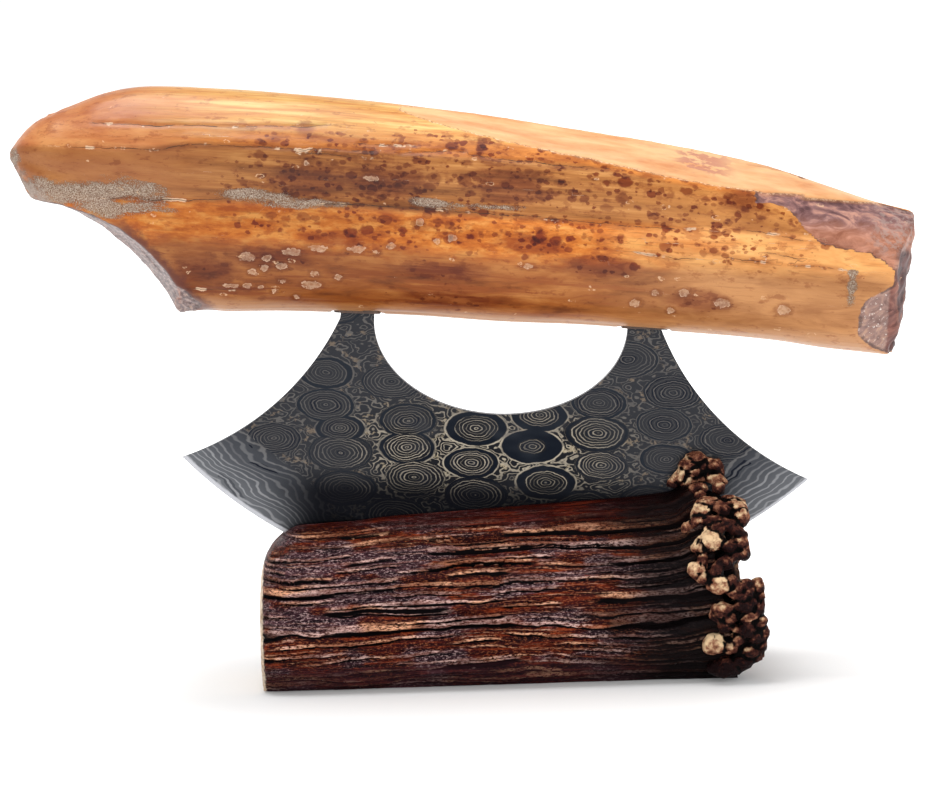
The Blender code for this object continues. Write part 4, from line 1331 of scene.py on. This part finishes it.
def beam_rings():
    """Rings of the antler's beam, each round its skin and down and up its kerf, and what they keep."""
    near = np.linspace(0, RIM_SHARE, RIM_RINGS + 1)[:-1]
    along = np.concatenate((near, np.linspace(RIM_SHARE, BEAM_END_SHARE, STAND_RINGS)))
    top, half_depth = antler_size(along)
    lip = np.arcsin(KERF_WIDTH / 2 / half_depth)
    share = np.linspace(0, 1, STAND_POINTS)
    angle = lip[:, None] + (math.tau - 2 * lip[:, None]) * share
    x = np.repeat(along[:, None] * STAND_LENGTH - STAND_LEFT_REACH, STAND_POINTS, axis=1)
    # The ridges run level to the sawn end: they are counted by height on the untapered round
    full_top = np.maximum(top, antler_size(np.array([0.12]))[0])[:, None]
    full_half = (full_top + BASE_GRIND) / 2
    _, height = antler_round(top, half_depth, 0, angle)
    level = np.arccos(np.clip((height - full_top + full_half) / full_half, -1, 1))
    level = np.where(angle > math.pi, math.tau - level, level)
    half = STAND_DEPTH / 2
    relief = ridge_relief(x.ravel(), (level * half).ravel(), math.tau * half)
    depth, furrow, crest = (value.reshape(angle.shape) for value in relief)
    lips = ease(np.minimum(share, 1 - share), 0.0, 0.012)[None]
    from_top = np.minimum(angle, math.tau - angle)
    side = lips * (0.3 + 0.7 * ease(from_top, 0.15, 0.6)) * (0.35 + 0.65 * ease(from_top, 2.6, 2.3))
    depth, furrow, crest = depth * side, furrow * side, crest * side
    y, z = antler_round(top, half_depth, depth, angle)
    y[:, 0], y[:, -1] = -KERF_WIDTH / 2, KERF_WIDTH / 2
    z = np.maximum(z, 0)
    skin = np.stack((x + burr_lean(x, z), y, z), axis=-1)
    return along, skin, furrow, crest


def kerf_rings(skin):
    """The points of each ring down the kerf's back wall, over its floor and up its front wall."""
    down = np.linspace(0, 1, KERF_POINTS + 1)[1:, None]
    back, front = skin[:, None, -1], skin[:, None, 0]
    floor_back = back * (1, 1, 0) + (0, 0, KERF_FLOOR)
    floor_front = front * (1, 1, 0) + (0, 0, KERF_FLOOR)
    wall = back + (floor_back - back) * down
    rise = floor_front + (front - floor_front) * down[:-1]
    return np.concatenate((wall, (floor_back + floor_front) / 2, floor_front, rise), axis=1)


def make_beam():
    along, skin, furrow, crest = beam_rings()
    kerf = kerf_rings(skin)
    rings = np.concatenate((skin, kerf), axis=1)
    count, around = rings.shape[:2]
    faces = tube_faces(count, around)
    faces += [list(range(around)), list(range(count * around - 1, (count - 1) * around - 1, -1))]
    mesh = outward(mesh_from("antler_beam", rings.reshape(-1, 3), faces))
    spare = np.zeros((count, kerf.shape[1]))
    whole = [np.concatenate((value, spare), axis=1).ravel() for value in (furrow, crest)]
    sawn = np.concatenate((np.zeros(furrow.shape), spare + 1), axis=1)
    rim = np.repeat(along[:, None] * STAND_LENGTH, around, axis=1)
    put_floats(mesh, furrow=whole[0], crest=whole[1], sawn=sawn.ravel(), rim=rim.ravel())
    mesh.materials.append(antler_material())
    return place_piece("antler_beam", mesh, "stand", "antler_stand", Matrix())


def antler_material():
    """Stained and varnished antler: black furrows in painted shade, red-brown flanks, a grey-lilac
    painted sheen high on the left, worn crests, pale bone, and painted shade towards the burr.
    """
    m = Shader("stained_antler", roughness=0.35, specular=0.07)
    x, _, z = m.axes(m.place)
    furrow, crest, sawn, rim = m.kept("furrow"), m.kept("crest"), m.kept("sawn"), m.kept("rim")
    streak = m.noise((16, 1.4, 1.1), 5, 0.68)
    cloud = m.noise((18, 8, 5), seed=3)
    grit = m.noise((0.9, 0.34, 0.34), 3, 0.7)
    red = m.ramp(streak, (0.37, 20, 3, 9), (0.52, 64, 14, 13), (0.66, 156, 66, 28))
    red = m.mix(m.ease(grit, 0.53, 0.62) * 0.55, red, (190, 118, 74))
    # Dusky purple-black, with a grey-lilac painted sheen of the varnish and pale painted glints, most of it
    # high on the left
    dusky_and_sheen = m.ramp(streak, (0.38, 22, 12, 22), (0.52, 64, 40, 48), (0.64, 114, 84, 88))
    dusky_and_sheen = m.mix(m.ease(grit, 0.53, 0.62) * 0.8, dusky_and_sheen, (206, 186, 182))
    sheen_high_left = m.ease(x, 15, -45) * m.ease(z, 16, 27)
    flank = m.mix(m.ease(cloud + sheen_high_left * 0.09, 0.5, 0.58), red, dusky_and_sheen)
    patchy = m.ease(m.noise((11, 4, 3), 4, 0.65, seed=5), 0.44, 0.58)
    worn = m.ease(crest, 0.25, 0.7) * m.blend(patchy, 0.22, 1) * m.ease(grit, 0.42, 0.54)
    colour = m.mix(m.ease(crest, 0.1, 0.7) * 0.4, flank, (146, 78, 42))
    colour = m.mix(worn, colour, m.mix(m.ease(cloud, 0.42, 0.56), (250, 202, 158), (236, 212, 200)))
    colour = m.mix(m.ease(grit, 0.47, 0.38) * 0.75, colour, (11, 6, 10))
    # The furrows are black with painted shade, darkest just under each crest
    colour = m.mix(m.ease(furrow, 0.12, 0.55), colour, (6, 3, 5))
    smooth = m.ramp(streak, (0.36, 24, 4, 6), (0.52, 60, 13, 10), (0.66, 116, 44, 26))
    colour = m.mix(m.ease(z, 37, 40) * 0.8, colour, smooth)
    purple = m.ramp(streak, (0.38, 22, 10, 18), (0.62, 66, 34, 42))
    colour = m.mix(m.ease(z, 8.5, 4.5) * 0.75, colour, purple)
    # Painted shade towards the burr, where the burr shades the beam, a little lighter on the crests
    shade = x + m.sway((14, 6, 6), 3, 0.6, seed=7, reach=30)
    shade = m.ease(shade, 18, 48) * m.blend(crest, 0.98, 0.84)
    colour = m.mix(1, colour, (0.95, 0.8, 0.82, 1), "MULTIPLY")
    colour = m.mix(shade, colour, (8, 3, 4))
    ragged = m.noise((3, 1.2, 1.2), 3, 0.6) * 1.4
    bone = m.ramp(m.noise(1.4, 4, 0.6), (0.35, 206, 172, 140), (0.6, 246, 228, 206))
    colour = m.mix(m.ease(ragged - rim, -0.3, 0.1), colour, bone)
    colour = m.mix(sawn * 0.8, colour, (120, 78, 52))
    relief = streak * 0.8 + grit
    shine = m.blend(m.ease(furrow, 0.1, 0.6), m.blend(grit, 0.2, 0.42), 0.7)
    return m.finish(colour, shine, m.bump(relief, 0.3))


def on_antler(x, z):
    """The place on the antler's front that shows at a place in the plane of the blade."""
    place = (x, 0, z)
    for _ in range(4):
        top, half_depth = antler_size(np.array([(place[0] + STAND_LEFT_REACH) / STAND_LENGTH]))
        half_height = (top[0] + BASE_GRIND) / 2
        share = np.clip((place[2] - (top[0] - half_height)) / half_height, -0.99, 0.99)
        place = on_sight(x, z, -half_depth[0] * math.sqrt(1 - share**2))
    return place


def knob_places():
    """Middle, half sizes, slope and paleness of each knob of the burr, front and back."""
    chance = random.Random(KNOB_SEED)
    places = [(on_antler(x, z), (wide, high), slope, pale) for x, z, wide, high, slope, pale in BURR_KNOBS]
    for index in range(KNOBS_BEHIND):
        z = 2 + 48 * ((index * GOLDEN_SHARE) % 1)
        x = BURR_REACH + BURR_LEAN * (0.5 - z / BURR_HEIGHT) + chance.uniform(-5.5, 6.5)
        middle = on_antler(x, z)
        half_sizes = (chance.uniform(1.5, 3.2), chance.uniform(1.1, 2.2))
        behind = (middle[0], -middle[1], middle[2])
        places.append((behind, half_sizes, chance.uniform(-30, 30), chance.uniform(1, 10)))
    return places


def knob_mesh(middle, half_sizes, slope, seed):
    """One lumpy knob."""
    shape = bmesh.new()
    bmesh.ops.create_icosphere(shape, subdivisions=4, radius=1)
    mesh = mesh_of("knob", shape)
    points = points_of(mesh)
    lumps = 1.12 + 0.13 * noise(points, 0.9, seed) + 0.07 * noise(points, 0.45, seed + 90)
    wide, high = half_sizes
    points = points * lumps[:, None] * (wide, (wide + high) / 2, high)
    turn = np.array(Matrix.Rotation(math.radians(slope), 3, "Y"))
    put_points(mesh, points @ turn.T + middle)
    return mesh


# How far the flange under the burr's knobs reaches at each height, as the picture shows it
FLANGE_ENDS = (
    (0, 63.6), (3, 64.2), (8, 66.5), (15, 66.5), (19, 64.5), (24.5, 63.4), (33, 62.5), (37, 64),
    (41, 63), (44.5, 58.5), (50, 57),
)


def burr_core():
    """The flange that carries the knobs: a short length of the antler, sunk below its skin."""
    share = np.linspace(0, 1, FLANGE_RINGS)
    top, half_depth = antler_size(np.full(FLANGE_RINGS, FLANGE_SHARE))
    sink = FLANGE_SINK + 2 * (2 * share - 1)[:, None] ** 4
    y, z = antler_round(top, half_depth, sink, angles(FLANGE_POINTS))
    heights, ends = np.array(FLANGE_ENDS).T
    x = FLANGE_START + share[:, None] * (np.interp(z, heights, ends) - FLANGE_START)
    return closed_tube("burr_core", np.stack((x, y, z), axis=-1))


def burr_mesh(places):
    """The flange and its knobs in one skin, with the kerf sawn into it and its base ground flat."""
    shape = bmesh.new()
    for index, (middle, half_sizes, slope, _) in enumerate(places):
        shape.from_mesh(knob_mesh(middle, half_sizes, slope, index))
    shape.from_mesh(burr_core())
    block = new_object("burr_block", mesh_of("burr", shape))
    remesh(block, KNOB_VOXEL)
    block = new_object("burr_block", finished_mesh(block))
    reach = 2 * STAND_LENGTH
    wall = KERF_WIDTH / 2
    cut(block, box_tool("burr_kerf", (-reach, -wall, KERF_FLOOR), (reach, wall, reach)))
    cut(block, box_tool("burr_base", (-reach, -reach, -reach), (reach, reach, 0)))
    remesh(block, BURR_VOXEL)
    return finished_mesh(block)


def burr_marks(mesh, places):
    """Roughens the burr's mesh and keeps for its material what belongs to each knob."""
    points, normals, edges = points_of(mesh), normals_of(mesh), edges_of(mesh)
    middles = np.array([middle for middle, *_ in places])
    sizes = np.array([sum(half_sizes) / 2 for _, half_sizes, _, _ in places])
    apart = np.linalg.norm(points[:, None] - middles[None], axis=2) / sizes
    order = np.argsort(apart, axis=1)[:, :2]
    first, second = np.take_along_axis(apart, order, axis=1).T
    nearest = order[:, 0]
    pale = np.array([pale for *_, pale in places])[nearest] / 10
    # How high each point sits on its knob: the material lightens the tops with it as painted light from
    # above
    painted_top_light = (points[:, 2] - middles[nearest, 2]) / sizes[nearest]
    wall = KERF_WIDTH / 2
    free = ease(np.abs(points[:, 1]), wall + 0.3, wall + 1.2) * ease(points[:, 2], 0.1, 0.8)
    rise = 0.2 * fractal(points, 1.2, 3, 71) - 0.3 * groove(noise(points, 2.4, 72), 0.2)
    points = points + normals * (rise * free)[:, None]
    put_points(mesh, points)
    hollow = ((points - evened(points, edges, 14)) * normals).sum(axis=1)
    wide_hollow = ((points - evened(points, edges, 60)) * normals).sum(axis=1)
    lobe = np.minimum(ease(second - first, 0.03, 0.45), ease(first, 1.75, 1.25))
    end = ease(normals[:, 0], 0.5, 0.8) * ease(first, 1.3, 1.7)
    put_floats(mesh, knob=hollow, clump=wide_hollow)
    for name, value, rounds in (("pale", pale, 8), ("lobe", lobe, 2), ("painted_top_light", painted_top_light, 3), ("end", end, 3)):
        put_floats(mesh, **{name: evened(value, edges, rounds)[:, 0]})


def make_burr():
    places = knob_places()
    mesh = burr_mesh(places)
    burr_marks(mesh, places)
    mesh.materials.append(burr_material())
    return place_piece("antler_burr", mesh, "stand", "antler_stand", Matrix())


def burr_material():
    """The burr: tan and cream on its knobs' tops, lightened there with painted light from above and
    painted highlights on its beads, umber on their flanks, and black painted shade in its crevices.
    """
    m = Shader("antler_burr", roughness=0.45, specular=0.06)
    knob, clump, pale, lobe = m.kept("knob"), m.kept("clump"), m.kept("pale"), m.kept("lobe")
    grit = m.noise(0.7, 4, 0.7)
    blotch = m.noise(1.9, 4, 0.65) - 0.5
    apart, _ = m.cells((2.3, 2.3, 1.8), m.swayed(1.2, 1.2))
    pearl_and_highlight = m.ease(apart, 0.7, 0.15)
    # Each knob's top is lightened as painted light from above, and each bead's middle as a painted
    # highlight
    tone = pale * 0.72 + blotch * 1.3 + (pearl_and_highlight - 0.4) * 0.28
    tone = tone + (grit - 0.5) * 0.7 + m.kept("painted_top_light") * 0.3
    worn = m.ramp(
        tone, (0.08, 28, 13, 14), (0.34, 80, 42, 34), (0.56, 158, 106, 80), (0.86, 244, 210, 166)
    )
    # Umber low on the knobs, and black painted shade in the crevices between them
    height = lobe * 0.6 + knob * 1.6 + clump * 0.25 + (grit - 0.5) * 0.4
    colour = m.mix(m.ease(height, 0.24, 0.68), (40, 17, 15), worn)
    colour = m.mix(m.ease(height, 0.4, 0.16), colour, (4, 2, 2))
    # The foot's end is stained bone, open in its pores
    pores = m.ease(m.noise(1.3, 4, 0.65, seed=4), 0.42, 0.5)
    bone = m.ramp(m.noise(5, 4, 0.6, seed=8), (0.36, 44, 24, 20), (0.5, 84, 52, 38), (0.64, 132, 94, 68))
    colour = m.mix(m.kept("end"), colour, m.mix(pores, (12, 6, 6), bone))
    return m.finish(colour, m.blend(grit, 0.35, 0.6), m.bump(grit + pearl_and_highlight, 0.5))


# Adhesive


def epoxy_material():
    """Dark adhesive with a slightly uneven skin."""
    m = Shader("tang_epoxy", roughness=0.4)
    stir = m.noise(2, 3, 0.6)
    colour = m.ramp(stir, (0.35, 58, 40, 30), (0.65, 92, 66, 50))
    return m.finish(colour, m.blend(stir, 0.3, 0.5), m.bump(stir, 0.1))


def dress_epoxies():
    epoxy = epoxy_material()
    for name in ("left_tang_epoxy", "right_tang_epoxy"):
        frame["nodes"][name].material_slots[0].material = epoxy


# Studio


def make_camera():
    """The photograph's view: a little from above, rolled so that the table rises to the right."""
    lens = bpy.data.cameras.new("camera")
    lens.lens = lens.sensor_width * CAMERA_DISTANCE / PICTURE_WIDTH
    camera = new_object("camera", lens)
    right = Vector((1, 0, 0))
    up = Vector((0, math.sin(CAMERA_RISE), math.cos(CAMERA_RISE)))
    back = right.cross(up)
    turned_right = right * math.cos(CAMERA_ROLL) - up * math.sin(CAMERA_ROLL)
    turned_up = right * math.sin(CAMERA_ROLL) + up * math.cos(CAMERA_ROLL)
    turn = Matrix((turned_right, turned_up, back)).transposed().to_4x4()
    camera.matrix_world = Matrix.Translation(Vector(EYE) * MM) @ turn
    bpy.context.scene.camera = camera


def make_floor():
    shape = bmesh.new()
    bmesh.ops.create_circle(shape, cap_ends=True, segments=96, radius=8)
    mesh = mesh_of("floor", shape)
    floor = new_object("floor", mesh)
    paper = Shader("floor", roughness=0.9, specular=0.1)
    paper.join((0.82, 0.82, 0.82, 1), paper.surface["Base Color"])
    paper.join((1, 1, 1, 1), paper.surface["Emission Color"])
    # The far paper glows into the white background, and the near paper keeps its soft shadows
    away = paper.length(paper.place)
    glow = paper.blend(paper.ease(away, 64, 120), 0.1, 0.45) + paper.ease(away, 200, 600) * 0.45
    paper.join(glow, paper.surface["Emission Strength"])
    mesh.materials.append(paper.material)


def add_light(name, place, size, power, towards=(0, 0, 0.07)):
    light = bpy.data.lights.new(name, "AREA")
    light.shape = "RECTANGLE"
    light.size, light.size_y = size
    light.energy = power
    lamp = new_object(name, light)
    lamp.location = place
    lamp.rotation_euler = (Vector(towards) - Vector(place)).to_track_quat("-Z", "Y").to_euler()


def make_light():
    """Soft light from above on the left, and a white room that is dimmer overhead and behind the
    camera."""
    add_light("key", (-0.2, 0.02, 1.25), (0.8, 0.6), 13)
    add_light("fill", (0.2, -1.0, 0.7), (1.6, 1.2), 6)
    world = bpy.data.worlds.new("world")
    world.use_nodes = True
    room = Nodes(world.node_tree)
    _, y, z = room.axes(room.value("Generated", "TexCoord"))
    strength = room.fade(y, 0.1, -0.5, 0.42) * (room.fade(z, 0.25, 0.7, 0.5) * 1.05)
    background = world.node_tree.nodes["Background"].inputs
    room.join(strength, background["Strength"])
    room.join((1, 1, 1, 1), background["Color"])
    bpy.context.scene.world = world
    bpy.context.scene.view_settings.view_transform = "Standard"


make_camera()
make_floor()
make_light()
make_handle()
make_blade()
make_beam()
make_burr()
dress_epoxies()
